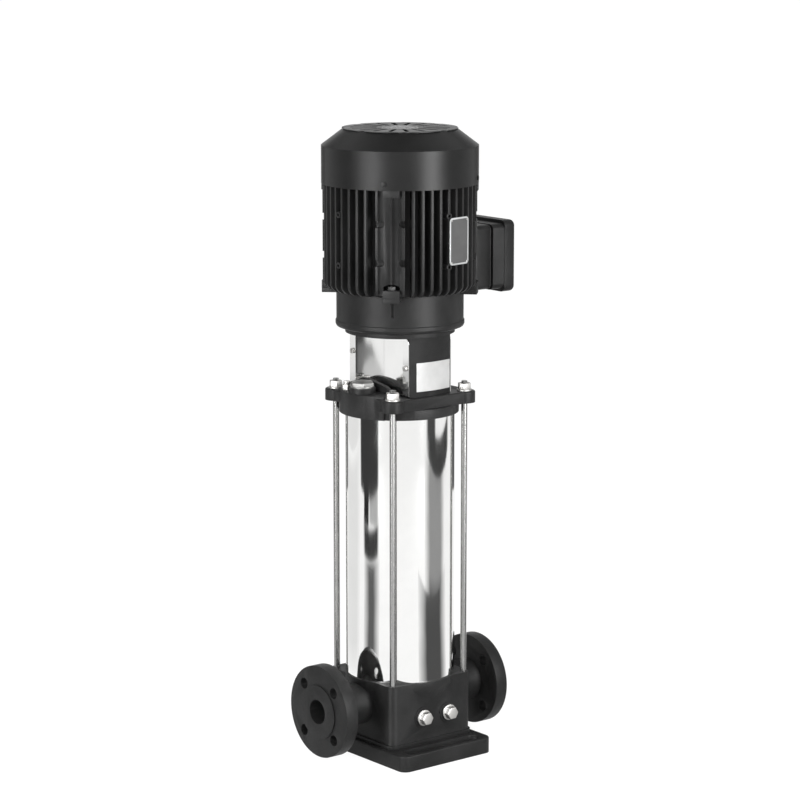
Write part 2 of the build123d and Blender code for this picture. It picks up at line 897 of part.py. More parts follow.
# Pump head: round collar over the sleeve, four-eared plate, priming boss and hump
with BuildPart() as pump_head:
    with BuildSketch(Plane.XY.offset(head_bottom)):
        Circle(head_collar_radius)
    extrude(amount=head_collar_height)
    with BuildSketch(Plane.XY.offset(head_plate_bottom)):
        RectangleRounded(head_plate_width, head_plate_width, head_plate_corner)
        with Locations(*staybolt_places):
            Circle(ear_radius)
    extrude(amount=head_plate_thickness)
    fillet(pump_head.faces().sort_by(Axis.Z)[-1].outer_wire().edges(), head_edge_fillet)
    with BuildSketch(Plane.XY.offset(head_bottom)):
        Circle(priming_boss_radius)
        with Locations((-priming_boss_radius - priming_boss_start, 0)):
            Rectangle(2 * priming_boss_radius, 2 * priming_boss_half_width, mode=Mode.INTERSECT)
    extrude(amount=head_top + priming_boss_rise - head_bottom)
    # Hump over the priming chamber, with a long slope to the front
    with BuildSketch(Plane.YZ.offset(-hump_end)):
        with BuildLine():
            Polyline(*[(across, head_top + rise) for across, rise in hump_outline], close=True)
        make_face()
    extrude(amount=hump_end - hump_start)
    with BuildSketch(Plane.XY.offset(head_top)):
        with Locations((priming_plug_x, priming_plug_y)):
            Circle(priming_seat_radius)
    extrude(amount=priming_boss_rise + priming_seat_height)
    # Spigot inside the sleeve with its ring groove
    with BuildSketch(Plane.XY.offset(head_bottom)):
        Circle(spigot_radius)
        Circle(spigot_radius - spigot_wall, mode=Mode.SUBTRACT)
    extrude(amount=-spigot_height)
    with BuildSketch(Plane.XY.offset(head_bottom - (spigot_height - oring_groove_width) / 2)):
        Circle(spigot_radius)
        Circle(spigot_radius - 2 * oring_radius, mode=Mode.SUBTRACT)
    extrude(amount=-oring_groove_width, mode=Mode.SUBTRACT)
    # Seal chamber and the shaft opening above it
    with BuildSketch(Plane.XY.offset(head_bottom)):
        Circle(seal_chamber_radius)
    extrude(amount=head_top - head_bottom - seal_seat_thickness / 2, mode=Mode.SUBTRACT)
    with BuildSketch(Plane.XY.offset(head_bottom)):
        Circle(seal_seat_radius - 4)
    extrude(amount=head_top - head_bottom, mode=Mode.SUBTRACT)
    # Holes for the staybolts, the plug and the vent valve
    with BuildSketch(Plane.XY.offset(head_bottom)):
        with Locations(*staybolt_places):
            Circle(staybolt_radius + 1)
    extrude(amount=head_top - head_bottom, mode=Mode.SUBTRACT)
    with BuildSketch(Plane.XY.offset(head_top)):
        with Locations(*stool_bolt_places):
            Circle(stool_bolt_radius + seat_clearance)
    extrude(amount=-(stool_bolt_reach + seat_clearance), mode=Mode.SUBTRACT)
    with BuildSketch(Plane.XY.offset(head_top + priming_boss_rise + priming_seat_height)):
        with Locations((priming_plug_x, priming_plug_y)):
            Circle(priming_plug_shank_radius + seat_clearance)
    extrude(amount=-(priming_plug_shank_length + seat_clearance), mode=Mode.SUBTRACT)
    with BuildSketch(Plane.XY.offset(head_top + priming_boss_rise)):
        with Locations((vent_x, vent_y)):
            Circle(vent_shank_radius + seat_clearance)
    extrude(amount=-(vent_shank_length + seat_clearance), mode=Mode.SUBTRACT)

pump_head.part.label = "pump_head"
export_step(pump_head.part, "parts/pump_head.step")


# Priming plug with a crowned hexagon head on a round collar
priming_level = head_top + priming_boss_rise + priming_seat_height
priming_place = (priming_plug_x, priming_plug_y)

with BuildPart() as priming_plug:
    with BuildSketch(Plane.XY.offset(priming_level)):
        with Locations(priming_place):
            Circle(priming_plug_head_radius)
    extrude(amount=priming_plug_crown)
    with BuildSketch(Plane.XY.offset(priming_level + priming_plug_crown)):
        with Locations(priming_place):
            RegularPolygon(priming_plug_head_radius - 2, 6, major_radius=False)
    extrude(amount=priming_plug_head_height - priming_plug_crown)
    chamfer(priming_plug.faces().sort_by(Axis.Z)[-1].edges(), priming_plug_chamfer)
    with BuildSketch(Plane.XY.offset(priming_level)):
        with Locations(priming_place):
            Circle(priming_plug_shank_radius)
    extrude(amount=-priming_plug_shank_length)

priming_plug.part.label = "priming_plug"
export_step(priming_plug.part, "parts/priming_plug.step")


# Vent valve: a hexagon body in the boss and a spindle that turns in it
vent_level = head_top + priming_boss_rise
vent_top = vent_level + vent_body_height

with BuildPart() as vent_body:
    with BuildSketch(Plane.XY.offset(vent_level)):
        with Locations((vent_x, vent_y)):
            RegularPolygon(vent_body_flats / 2, 6, major_radius=False)
    extrude(amount=vent_body_height)
    with BuildSketch(Plane.XY.offset(vent_level)):
        with Locations((vent_x, vent_y)):
            Circle(vent_shank_radius)
    extrude(amount=-vent_shank_length)
    with BuildSketch(Plane.XY.offset(vent_top)):
        with Locations((vent_x, vent_y)):
            Circle(vent_bore_radius)
    extrude(amount=-(vent_body_height + vent_shank_length - vent_bore_floor), mode=Mode.SUBTRACT)

vent_body.part.label = "vent_body"
export_step(vent_body.part, "parts/vent_body.step")

with BuildPart() as vent_spindle:
    with BuildSketch(Plane.XY.offset(vent_top - vent_spindle_height)):
        with Locations((vent_x, vent_y)):
            Circle(vent_bore_radius - running_clearance)
    extrude(amount=vent_spindle_height + wide_clearance)
    with BuildSketch(Plane.XY.offset(vent_top + wide_clearance)):
        with Locations((vent_x, vent_y)):
            Circle(vent_body_flats / 2 - 1)
    extrude(amount=vent_head_height)
    with BuildSketch(Plane.XY.offset(vent_top + wide_clearance + vent_head_height)):
        with Locations((vent_x, vent_y)):
            Rectangle(vent_body_flats, vent_slot_width)
    extrude(amount=-vent_slot_depth, mode=Mode.SUBTRACT)

vent_spindle.part.label = "vent_spindle"
export_step(vent_spindle.part, "parts/vent_spindle.step")


# Shaft seal: a fixed seat in the head and a ring that turns with the shaft
seat_top = head_top - seal_seat_thickness / 2

with BuildPart() as seal_seat:
    with BuildSketch(Plane.XY.offset(seat_top - seal_seat_thickness)):
        Circle(seal_chamber_radius - seat_clearance)
        Circle(pump_shaft_radius + 1, mode=Mode.SUBTRACT)
    extrude(amount=seal_seat_thickness)

seal_seat.part.label = "seal_seat"
export_step(seal_seat.part, "parts/seal_seat.step")

with BuildPart() as seal_ring:
    with BuildSketch(Plane.XY.offset(seat_top - seal_seat_thickness - seat_clearance)):
        Circle(seal_ring_radius)
        Circle(shaft_fit_radius, mode=Mode.SUBTRACT)
    extrude(amount=-seal_ring_length)
    with BuildSketch(Plane.XY.offset(seat_top - seal_seat_thickness - seal_ring_length / 2)):
        Circle(seal_ring_radius)
        Circle(seal_ring_radius - seal_groove, mode=Mode.SUBTRACT)
    extrude(amount=-seal_groove, mode=Mode.SUBTRACT)

seal_ring.part.label = "seal_ring"
export_step(seal_ring.part, "parts/seal_ring.step")


# Motor stool: two crowned pillars between a foot and a round top flange

guard_bend = stool_face_offset - guard_strip
window_rebate = guard_recess + guard_thickness + 1.0
guard_screw_places = [
    (-guard_screw_near, head_top + guard_screw_near_height),
    (guard_screw_near, head_top + guard_screw_far_height),
]

with BuildPart() as motor_stool:
    with BuildSketch(Plane.XY.offset(head_top)):
        with BuildLine():
            near_left = (-stool_half_width, -stool_face_offset)
            near_right = (stool_half_width, -stool_face_offset)
            far_right = (stool_half_width, stool_face_offset)
            far_left = (-stool_half_width, stool_face_offset)
            ThreePointArc(near_left, (0, -stool_face_crown), near_right)
            Line(near_right, far_right)
            ThreePointArc(far_right, (0, stool_face_crown), far_left)
            Line(far_left, near_left)
        make_face()
    extrude(amount=stool_height)
    with BuildSketch(Plane.XY.offset(stool_top)):
        Circle(stool_top_radius)
    extrude(amount=-stool_top_thickness)
    with BuildSketch(Plane.XY.offset(head_top + stool_foot_thickness)):
        Circle(stool_cavity_radius)
    extrude(amount=stool_height - stool_foot_thickness - stool_top_thickness, mode=Mode.SUBTRACT)
    with BuildSketch(Plane.XY.offset(head_top)):
        with GridLocations(2 * stool_half_width, 0, 2, 1):
            Rectangle(2 * window_rebate, 2 * guard_bend)
    extrude(amount=stool_height - stool_top_thickness, mode=Mode.SUBTRACT)
    with BuildSketch(Plane.XY.offset(head_top)):
        Circle(stool_shaft_hole_radius)
        with Locations(*stool_bolt_places):
            Circle(stool_bolt_radius + seat_clearance)
    extrude(amount=stool_height, mode=Mode.SUBTRACT)
    for side in (-1, 1):
        with BuildSketch(Plane.YZ.offset(side * stool_half_width)):
            with Locations(*guard_screw_places):
                Circle(guard_screw_radius + seat_clearance)
        extrude(amount=-side * (guard_screw_depth + seat_clearance), mode=Mode.SUBTRACT)

motor_stool.part.label = "motor_stool"
export_step(motor_stool.part, "parts/motor_stool.step")


# Bolts through the stool's foot into the head and up through its top into the motor
with BuildPart() as stool_bolts:
    with BuildSketch(Plane.XY.offset(head_top + stool_foot_thickness)):
        with Locations(*stool_bolt_places):
            RegularPolygon(stool_bolt_flats / 2, 6, major_radius=False)
    extrude(amount=stool_bolt_head)
    with BuildSketch(Plane.XY.offset(head_top + stool_foot_thickness)):
        with Locations(*stool_bolt_places):
            Circle(stool_bolt_radius)
    extrude(amount=-(stool_foot_thickness + stool_bolt_reach))
    with BuildSketch(Plane.XY.offset(stool_top - stool_top_thickness)):
        with Locations(*stool_bolt_places):
            RegularPolygon(stool_bolt_flats / 2, 6, major_radius=False)
    extrude(amount=-stool_bolt_head)
    with BuildSketch(Plane.XY.offset(stool_top - stool_top_thickness)):
        with Locations(*stool_bolt_places):
            Circle(stool_bolt_radius)
    extrude(amount=stool_top_thickness + motor_flange_floor - flange_bolt_margin)

stool_bolts.part.label = "stool_bolts"
export_step(stool_bolts.part, "parts/stool_bolts.step")


# Coupling guards: dished sheet covers screwed to the sides of the two pillars
guard_bottom = head_top + guard_bottom_gap
guard_height = stool_height - stool_top_thickness - guard_bottom_gap - seat_clearance


def guard_outline(side):
    """Draw the guard's section for the pillar side at side * X."""
    inner = side * (stool_half_width + seat_clearance)
    outer = inner + side * guard_thickness
    dish = side * guard_recess
    Line((outer, -stool_face_offset), (outer, -guard_bend))
    ThreePointArc((outer, -guard_bend), (outer - dish, 0), (outer, guard_bend))
    Line((outer, guard_bend), (outer, stool_face_offset))
    Line((outer, stool_face_offset), (inner, stool_face_offset))
    Line((inner, stool_face_offset), (inner, guard_bend))
    ThreePointArc((inner, guard_bend), (inner - dish, 0), (inner, -guard_bend))
    Line((inner, -guard_bend), (inner, -stool_face_offset))
    Line((inner, -stool_face_offset), (outer, -stool_face_offset))


guard_nodes = {-1: "coupling_guard_left", 1: "coupling_guard_right"}

for side, guard_name in guard_nodes.items():
    with BuildPart() as coupling_guard:
        with BuildSketch(Plane.XY.offset(guard_bottom)):
            with BuildLine():
                guard_outline(side)
            make_face()
        extrude(amount=guard_height)
        top_corners = coupling_guard.edges().filter_by(Axis.X).group_by(Axis.Z)[-1]
        fillet(top_corners, guard_corner_radius)
        with BuildSketch(Plane.YZ.offset(side * (stool_half_width + 2 * guard_thickness))):
            with Locations(*guard_screw_places):
                Circle(guard_screw_radius + seat_clearance)
        extrude(amount=-side * 2 * guard_thickness, mode=Mode.SUBTRACT)

    coupling_guard.part.label = guard_name
    export_step(coupling_guard.part, f"parts/{guard_name}.step")

guard_outer = stool_half_width + seat_clearance + guard_thickness

with BuildPart() as guard_screws:
    for side in (-1, 1):
        with BuildSketch(Plane.YZ.offset(side * guard_outer)):
            with Locations(*guard_screw_places):
                Circle(guard_screw_head_radius)
        extrude(amount=side * guard_screw_head_height)
        with BuildSketch(Plane.YZ.offset(side * guard_outer)):
            with Locations(*guard_screw_places):
                Circle(guard_screw_radius)
        extrude(amount=-side * guard_screw_depth)
        with BuildSketch(Plane.YZ.offset(side * (guard_outer + guard_screw_head_height))):
            with Locations(*guard_screw_places):
                Rectangle(guard_screw_slot, 2 * guard_screw_head_radius + 1)
        extrude(amount=-side * guard_screw_slot_depth, mode=Mode.SUBTRACT)

guard_screws.part.label = "guard_screws"
export_step(guard_screws.part, "parts/guard_screws.step")


# Shaft coupling: two half shells clamped on the pump shaft below and the motor shaft above
coupling_screw_places = [
    (sy * coupling_screw_offset, shaft_joint + sz * coupling_screw_rise)
    for sy in (-1, 1)
    for sz in (-1, 1)
]

with BuildPart() as coupling_halves:
    with BuildSketch(Plane.XY.offset(coupling_base)):
        Circle(coupling_radius)
    extrude(amount=coupling_height)
    chamfer(coupling_halves.edges(), coupling_chamfer)
    with BuildSketch(Plane.XY.offset(shaft_joint - coupling_waist_height / 2)):
        Circle(coupling_radius)
        Circle(coupling_radius - coupling_waist_depth, mode=Mode.SUBTRACT)
    extrude(amount=coupling_waist_height, mode=Mode.SUBTRACT)
    with BuildSketch(Plane.XY.offset(coupling_base)):
        Circle(shaft_fit_radius)
    extrude(amount=coupling_height / 2, mode=Mode.SUBTRACT)
    with BuildSketch(Plane.XY.offset(shaft_joint)):
        Circle(motor_shaft_radius + running_clearance)
    extrude(amount=coupling_height / 2, mode=Mode.SUBTRACT)
    with BuildSketch(Plane.YZ.offset(-coupling_radius)):
        with Locations(*coupling_screw_places):
            Circle(coupling_screw_head_radius + wide_clearance)
    extrude(amount=coupling_radius - coupling_screw_seat, mode=Mode.SUBTRACT)
    with BuildSketch(Plane.YZ.offset(-coupling_radius)):
        with Locations(*coupling_screw_places):
            Circle(coupling_screw_radius + seat_clearance)
    extrude(amount=coupling_radius + coupling_screw_reach + seat_clearance, mode=Mode.SUBTRACT)
    with BuildSketch(Plane.XY.offset(coupling_base)):
        Rectangle(coupling_split, 3 * coupling_radius)
    extrude(amount=coupling_height, mode=Mode.SUBTRACT)

coupling_halves.part.label = "coupling_halves"
export_step(coupling_halves.part, "parts/coupling_halves.step")

with BuildPart() as coupling_screws:
    with BuildSketch(Plane.YZ.offset(-coupling_screw_seat)):
        with Locations(*coupling_screw_places):
            Circle(coupling_screw_head_radius)
    extrude(amount=-coupling_screw_head_height)
    with BuildSketch(Plane.YZ.offset(-coupling_screw_seat - coupling_screw_head_height)):
        with Locations(*coupling_screw_places):
            RegularPolygon(coupling_screw_socket, 6)
    extrude(amount=coupling_screw_head_height / 2, mode=Mode.SUBTRACT)
    with BuildSketch(Plane.YZ.offset(-coupling_screw_seat)):
        with Locations(*coupling_screw_places):
            Circle(coupling_screw_radius)
    extrude(amount=coupling_screw_seat + coupling_screw_reach)

coupling_screws.part.label = "coupling_screws"
export_step(coupling_screws.part, "parts/coupling_screws.step")


# Motor lower flange: a round bell with four ears that carries the lower bearing
bearing_bore = bearing_outer_radius + seat_clearance
bearing_hub_radius = bearing_bore + bearing_housing_wall
floor_top = stool_top + motor_flange_floor
bell_inner = motor_flange_radius - motor_flange_wall
shaft_hole = motor_shaft_core_radius + 2.0
lug_middle = (lug_inner_radius + lug_reach) / 2
lug_depth = lug_reach - lug_inner_radius

with BuildPart() as motor_flange:
    with BuildSketch(Plane.XZ):
        with BuildLine():
            rim_top = stool_top + motor_flange_rim_height
            rim_edge_radius = motor_flange_rim_radius - motor_flange_rim_edge
            Polyline(
                (shaft_hole, stool_top),
                (motor_flange_rim_radius - motor_flange_rim_round, stool_top),
                (rim_edge_radius, stool_top + motor_flange_rim_edge),
                (motor_flange_rim_radius, stool_top + motor_flange_rim_round),
                (motor_flange_rim_radius, rim_top),
                (motor_flange_radius, rim_top + motor_flange_rim_step),
                (motor_flange_radius, housing_bottom),
                (bell_inner, housing_bottom),
                (bell_inner, floor_top),
                (bearing_hub_radius, floor_top),
                (bearing_hub_radius, floor_top + bearing_width),
                (bearing_bore, floor_top + bearing_width),
                (bearing_bore, floor_top),
                (shaft_hole, floor_top),
                close=True,
            )
        make_face()
    revolve(axis=Axis.Z)
    with BuildSketch(Plane.XY.offset(housing_bottom - lug_ear_height)):
        with PolarLocations(lug_middle, 4, 45):
            Rectangle(lug_depth, lug_width)
    extrude(amount=lug_ear_height)
    with BuildSketch(Plane.XY.offset(housing_bottom - lug_ear_height)):
        with PolarLocations(lug_bolt_circle / 2, 4, 45):
            Circle(lug_bolt_radius + seat_clearance)
    extrude(amount=lug_ear_height, mode=Mode.SUBTRACT)
    # Upright groove in the bell below each ear
    with BuildSketch(Plane.XY.offset(stool_top + bell_groove_bottom)):
        with PolarLocations(motor_flange_radius, 4, 45):
            Rectangle(2 * bell_groove_depth, bell_groove_width)
    extrude(amount=bell_groove_height, mode=Mode.SUBTRACT)
    with BuildSketch(Plane.XY.offset(stool_top)):
        with Locations(*stool_bolt_places):
            Circle(stool_bolt_radius + seat_clearance)
    extrude(amount=motor_flange_floor - 2, mode=Mode.SUBTRACT)

motor_flange.part.label = "motor_flange"
export_step(motor_flange.part, "parts/motor_flange.step")


# Finned housing: straight cooling fins on four sides, flat pads with lugs on the diagonals
fin_sides = (
    (0, side_fin_count),
    (90, front_fin_count),
    (180, side_fin_count),
    (270, front_fin_count),
)
fin_angles = [
    side + fin_pitch_angle * (step - (count - 1) / 2) for side, count in fin_sides for step in range(count)
]
fin_middle = (fin_base_radius + fin_radius) / 2
pad_base = housing_bore_radius + 4.0
diagonals = (45, 135, 225, 315)
pad_edges = [
    (diagonal, turn * pad_edge_side_angle, -turn * pad_edge_front_angle)
    for diagonal, turn in zip(diagonals, (-1, 1, -1, 1))
]
pocket_top = housing_bottom + lug_height + lug_pocket_height
slot_end_radius = pad_slot_height / 2
slot_inner = pad_slot_start + slot_end_radius
slot_middle = (slot_inner + pad_slot_end) / 2
seat_bottom = housing_bottom + 4.0
seat_top_level = box_bottom + box_seat_height - 4.0


def on_ray(distance, diagonal, offset):
    """Return the point `distance` along a diagonal, on the ray `offset` degrees beside it."""
    angle = math.radians(diagonal + offset)
    reach = distance / math.cos(math.radians(offset))
    return (reach * math.cos(angle), reach * math.sin(angle))


with BuildPart() as stator_housing:
    with BuildSketch(Plane.XY.offset(housing_bottom)):
        Circle(housing_root_radius)
        for angle in fin_angles:
            with PolarLocations(fin_middle, 1, angle):
                Rectangle(fin_radius - fin_base_radius, fin_thickness)
        for diagonal, side_edge, front_edge in pad_edges:
            with BuildLine():
                Polyline(
                    on_ray(pad_base, diagonal, side_edge),
                    on_ray(pad_radius, diagonal, side_edge),
                    on_ray(pad_radius, diagonal, front_edge),
                    on_ray(pad_base, diagonal, front_edge),
                    close=True,
                )
            make_face()
            for offset in (side_edge, front_edge):
                with PolarLocations(fin_middle, 1, diagonal + offset):
                    Rectangle(fin_radius - fin_base_radius, pad_edge_thickness)
        with PolarLocations((pad_base + pad_rib_radius) / 2, 4, 45):
            Rectangle(pad_rib_radius - pad_base, pad_rib_thickness)
    extrude(amount=housing_height)
    # The lower ends of the fins are rounded inwards
    with BuildSketch(Plane.XZ):
        with BuildLine():
            tail_top = (fin_radius + 1, housing_bottom + fin_tail_height)
            tail_foot = (fin_radius - fin_tail_depth, housing_bottom)
            tail_middle = (
                fin_radius - fin_tail_bulge[0] * fin_tail_depth,
                housing_bottom + fin_tail_bulge[1] * fin_tail_height,
            )
            ThreePointArc(tail_top, tail_middle, tail_foot)
            Line(tail_foot, (fin_radius + 1, housing_bottom))
            Line((fin_radius + 1, housing_bottom), tail_top)
        make_face()
    revolve(axis=Axis.Z, mode=Mode.SUBTRACT)
    # Pocket with an arched top over each lower lug, then the lugs themselves
    for angle in diagonals:
        with BuildSketch(Plane.YZ.rotated((0, 0, angle)).offset(housing_root_radius)):
            with BuildLine():
                left_foot = (-lug_width / 2, housing_bottom)
                left_top = (-lug_width / 2, pocket_top)
                right_top = (lug_width / 2, pocket_top)
                right_foot = (lug_width / 2, housing_bottom)
                Polyline(left_top, left_foot, right_foot, right_top)
                ThreePointArc(right_top, (0, pocket_top + lug_pocket_rise), left_top)
            make_face()
        extrude(amount=lug_depth, mode=Mode.SUBTRACT)
    with BuildSketch(Plane.XY.offset(housing_bottom)):
        with PolarLocations(lug_middle, 4, 45):
            Rectangle(lug_depth, lug_width)
    extrude(amount=lug_height)
    with BuildSketch(Plane.XY.offset(housing_top)):
        with PolarLocations(lug_middle, 4, 45):
            Rectangle(lug_depth, lug_width)
    extrude(amount=-upper_lug_height)
    # Seat of the terminal box on the +X side, with the fins trimmed level with it
    with BuildSketch(Plane.XY.offset(housing_bottom)):
        with Locations((2 * box_face, 0)):
            Rectangle(2 * box_face, 2 * box_seat_half_width + 2)
    extrude(amount=seat_top_level + 6 - housing_bottom, mode=Mode.SUBTRACT)
    with BuildSketch(Plane.XY.offset(seat_bottom)):
        with Locations(((pad_base + box_face) / 2, 0)):
            Rectangle(box_face - pad_base, 2 * box_seat_half_width)
    extrude(amount=seat_top_level - seat_bottom)
    with BuildSketch(Plane.XY.offset(housing_bottom)):
        Circle(housing_bore_radius)
    extrude(amount=housing_height, mode=Mode.SUBTRACT)
    with BuildSketch(Plane.YZ.offset(housing_bore_radius - 4)):
        with Locations((0, box_centre)):
            Circle(wire_hole_radius)
    extrude(amount=box_face, mode=Mode.SUBTRACT)
    # Slots in the pads at two heights, open through the edge strips
    for angle in diagonals:
        with BuildSketch(Plane.YZ.rotated((0, 0, angle)).offset(fin_radius + 1)):
            for height in pad_slot_heights:
                level = housing_bottom + height
                with Locations((-slot_middle, level), (slot_middle, level)):
                    Rectangle(pad_slot_end - slot_inner, pad_slot_height)
                with Locations((-slot_inner, level), (slot_inner, level)):
                    Circle(slot_end_radius)
        extrude(amount=-(pad_inset + 1 + pad_slot_depth), mode=Mode.SUBTRACT)
    # Small drilled bosses in the middle of the three open sides
    for angle in (90, 180, 270):
        boss_plane = Plane.YZ.rotated((0, 0, angle)).offset(boss_reach)
        with BuildSketch(boss_plane):
            for height in boss_heights:
                with Locations((0, housing_bottom + height)):
                    Circle(boss_radius)
        extrude(amount=-(boss_reach - fin_base_radius))
        with BuildSketch(boss_plane):
            for height in boss_heights:
                with Locations((0, housing_bottom + height)):
                    Circle(boss_hole_radius)
        extrude(amount=-boss_hole_depth, mode=Mode.SUBTRACT)
    # Bolt holes in the lugs
    with BuildSketch(Plane.XY.offset(housing_bottom)):
        with PolarLocations(lug_bolt_circle / 2, 4, 45):
            Circle(lug_bolt_radius + seat_clearance)
    extrude(amount=lug_height, mode=Mode.SUBTRACT)
    with BuildSketch(Plane.XY.offset(housing_top)):
        with PolarLocations(shield_bolt_circle / 2, 4, 45):
            Circle(lug_bolt_radius + seat_clearance)
    extrude(amount=-(shield_bolt_reach + seat_clearance), mode=Mode.SUBTRACT)

stator_housing.part.label = "stator_housing"
export_step(stator_housing.part, "parts/stator_housing.step")


# Bolts of the lower lugs and of the upper end shield
with BuildPart() as housing_bolts:
    with BuildSketch(Plane.XY.offset(housing_bottom + lug_height)):
        with PolarLocations(lug_bolt_circle / 2, 4, 45):
            RegularPolygon(lug_bolt_flats / 2, 6, major_radius=False)
    extrude(amount=lug_bolt_head)
    with BuildSketch(Plane.XY.offset(housing_bottom + lug_height)):
        with PolarLocations(lug_bolt_circle / 2, 4, 45):
            Circle(lug_bolt_radius)
    extrude(amount=-(lug_height + lug_ear_height))

housing_bolts.part.label = "housing_bolts"
export_step(housing_bolts.part, "parts/housing_bolts.step")

with BuildPart() as end_shield_bolts:
    with BuildSketch(Plane.XY.offset(shield_top)):
        with PolarLocations(shield_bolt_circle / 2, 4, 45):
            RegularPolygon(lug_bolt_flats / 2, 6, major_radius=False)
    extrude(amount=lug_bolt_head)
    with BuildSketch(Plane.XY.offset(shield_top)):
        with PolarLocations(shield_bolt_circle / 2, 4, 45):
            Circle(lug_bolt_radius)
    extrude(amount=-(end_shield_thickness + shield_bolt_reach))

end_shield_bolts.part.label = "end_shield_bolts"
export_step(end_shield_bolts.part, "parts/end_shield_bolts.step")


# Stator core, end windings and rotor core
with BuildPart() as stator_core:
    with BuildSketch(Plane.XY.offset(core_bottom)):
        Circle(core_outer_radius - seat_clearance)
        Circle(rotor_core_radius + air_gap, mode=Mode.SUBTRACT)
    extrude(amount=core_length)

stator_core.part.label = "stator_core"
export_step(stator_core.part, "parts/stator_core.step")

winding_inner = rotor_core_radius + winding_margin
winding_outer = core_outer_radius - winding_margin

with BuildPart() as stator_windings:
    for level in (core_bottom - winding_length, core_top):
        with BuildSketch(Plane.XY.offset(level)):
            Circle(winding_outer)
            Circle(winding_inner, mode=Mode.SUBTRACT)
        extrude(amount=winding_length)

stator_windings.part.label = "stator_windings"
export_step(stator_windings.part, "parts/stator_windings.step")

with BuildPart() as rotor_core:
    with BuildSketch(Plane.XY.offset(core_bottom)):
        Circle(rotor_core_radius)
    extrude(amount=core_length)
    with BuildSketch(Plane.XY.offset(core_bottom - end_ring_height)):
        Circle(rotor_core_radius - end_ring_inset)
        Circle(rotor_core_radius - end_ring_inset - end_ring_width, mode=Mode.SUBTRACT)
    extrude(amount=core_length + 2 * end_ring_height)
    with BuildSketch(Plane.XY.offset(core_bottom)):
        Circle(motor_shaft_core_radius + running_clearance)
    extrude(amount=core_length, mode=Mode.SUBTRACT)

rotor_core.part.label = "rotor_core"
export_step(rotor_core.part, "parts/rotor_core.step")


# Motor shaft, stepped at the bearings
core_shaft_bottom = floor_top - shaft_shoulder_drop
tail_shaft_radius = motor_shaft_radius - 2.0

with BuildPart() as motor_shaft:
    with BuildSketch(Plane.XY.offset(shaft_joint + 1)):
        Circle(motor_shaft_radius)
    extrude(amount=core_shaft_bottom - shaft_joint - 1)
    with BuildSketch(Plane.XY.offset(core_shaft_bottom)):
        Circle(motor_shaft_core_radius)
    extrude(amount=shield_top + 2 - core_shaft_bottom)
    with BuildSketch(Plane.XY.offset(shield_top + 2)):
        Circle(tail_shaft_radius)
    extrude(amount=shaft_tail)

motor_shaft.part.label = "motor_shaft"
export_step(motor_shaft.part, "parts/motor_shaft.step")


# Bearings: shielded outer rings fixed in the flange and the end shield, inner rings on the shaft
inner_ring_outer = motor_shaft_core_radius + bearing_inner_ring
shield_lip = inner_ring_outer + wide_clearance
race_radius = bearing_outer_radius - bearing_ring_wall
bearing_levels = (lower_bearing_bottom, upper_bearing_top - bearing_width)

with BuildPart() as bearing_outer_rings:
    for level in bearing_levels:
        with BuildSketch(Plane.XY.offset(level)):
            Circle(bearing_outer_radius)
            Circle(shield_lip, mode=Mode.SUBTRACT)
        extrude(amount=bearing_width)
        with BuildSketch(Plane.XY.offset(level + 1)):
            Circle(race_radius)
            Circle(shield_lip, mode=Mode.SUBTRACT)
        extrude(amount=bearing_width - 2, mode=Mode.SUBTRACT)

bearing_outer_rings.part.label = "bearing_outer_rings"
export_step(bearing_outer_rings.part, "parts/bearing_outer_rings.step")

with BuildPart() as bearing_inner_rings:
    for level in bearing_levels:
        with BuildSketch(Plane.XY.offset(level)):
            Circle(inner_ring_outer)
            Circle(motor_shaft_core_radius + running_clearance, mode=Mode.SUBTRACT)
        extrude(amount=bearing_width)

bearing_inner_rings.part.label = "bearing_inner_rings"
export_step(bearing_inner_rings.part, "parts/bearing_inner_rings.step")


# Upper end shield with the bearing hub and four tabs that carry the fan cover
hub_bottom = upper_bearing_top - bearing_width
tab_reach = cover_radius - cover_wall - 1.0
tab_depth = tab_reach - cover_tab_inner
ear_middle = (lug_inner_radius + tab_reach) / 2
cover_screw_angle = diagonals[0] + cover_screw_turn
cover_screw_level = cover_bottom + cover_screw_height
cover_screw_angles = [diagonal + cover_screw_turn for diagonal in diagonals]

with BuildPart() as upper_end_shield:
    with BuildSketch(Plane.XZ):
        with BuildLine():
            Polyline(
                (shaft_hole, upper_bearing_top + seat_clearance),
                (bearing_bore, upper_bearing_top + seat_clearance),
                (bearing_bore, hub_bottom),
                (bearing_hub_radius, hub_bottom),
                (bearing_hub_radius + bearing_hub_flare, housing_top),
                (end_shield_radius, housing_top),
                (end_shield_radius, shield_top),
                (shaft_hole, shield_top),
                close=True,
            )
        make_face()
    revolve(axis=Axis.Z)
    with BuildSketch(Plane.XY.offset(housing_top)):
        with PolarLocations(ear_middle, 4, 45):
            Rectangle(tab_reach - lug_inner_radius, lug_width)
        with PolarLocations(ear_middle, 4, cover_screw_angle):
            Rectangle(tab_reach - lug_inner_radius, cover_tab_width)
    extrude(amount=end_shield_thickness)
    with BuildSketch(Plane.XY.offset(housing_top)):
        with PolarLocations(cover_tab_inner + tab_depth / 2, 4, cover_screw_angle):
            Rectangle(tab_depth, cover_tab_width)
    extrude(amount=cover_tab_height)
    with BuildSketch(Plane.XY.offset(housing_top)):
        with PolarLocations(shield_bolt_circle / 2, 4, 45):
            Circle(lug_bolt_radius + seat_clearance)
    extrude(amount=end_shield_thickness, mode=Mode.SUBTRACT)
    for angle in cover_screw_angles:
        with BuildSketch(Plane.YZ.rotated((0, 0, angle)).offset(cover_tab_inner - 1)):
            with Locations((0, cover_screw_level)):
                Circle(cover_screw_radius + seat_clearance)
        extrude(amount=tab_depth + 2, mode=Mode.SUBTRACT)

upper_end_shield.part.label = "upper_end_shield"
export_step(upper_end_shield.part, "parts/upper_end_shield.step")


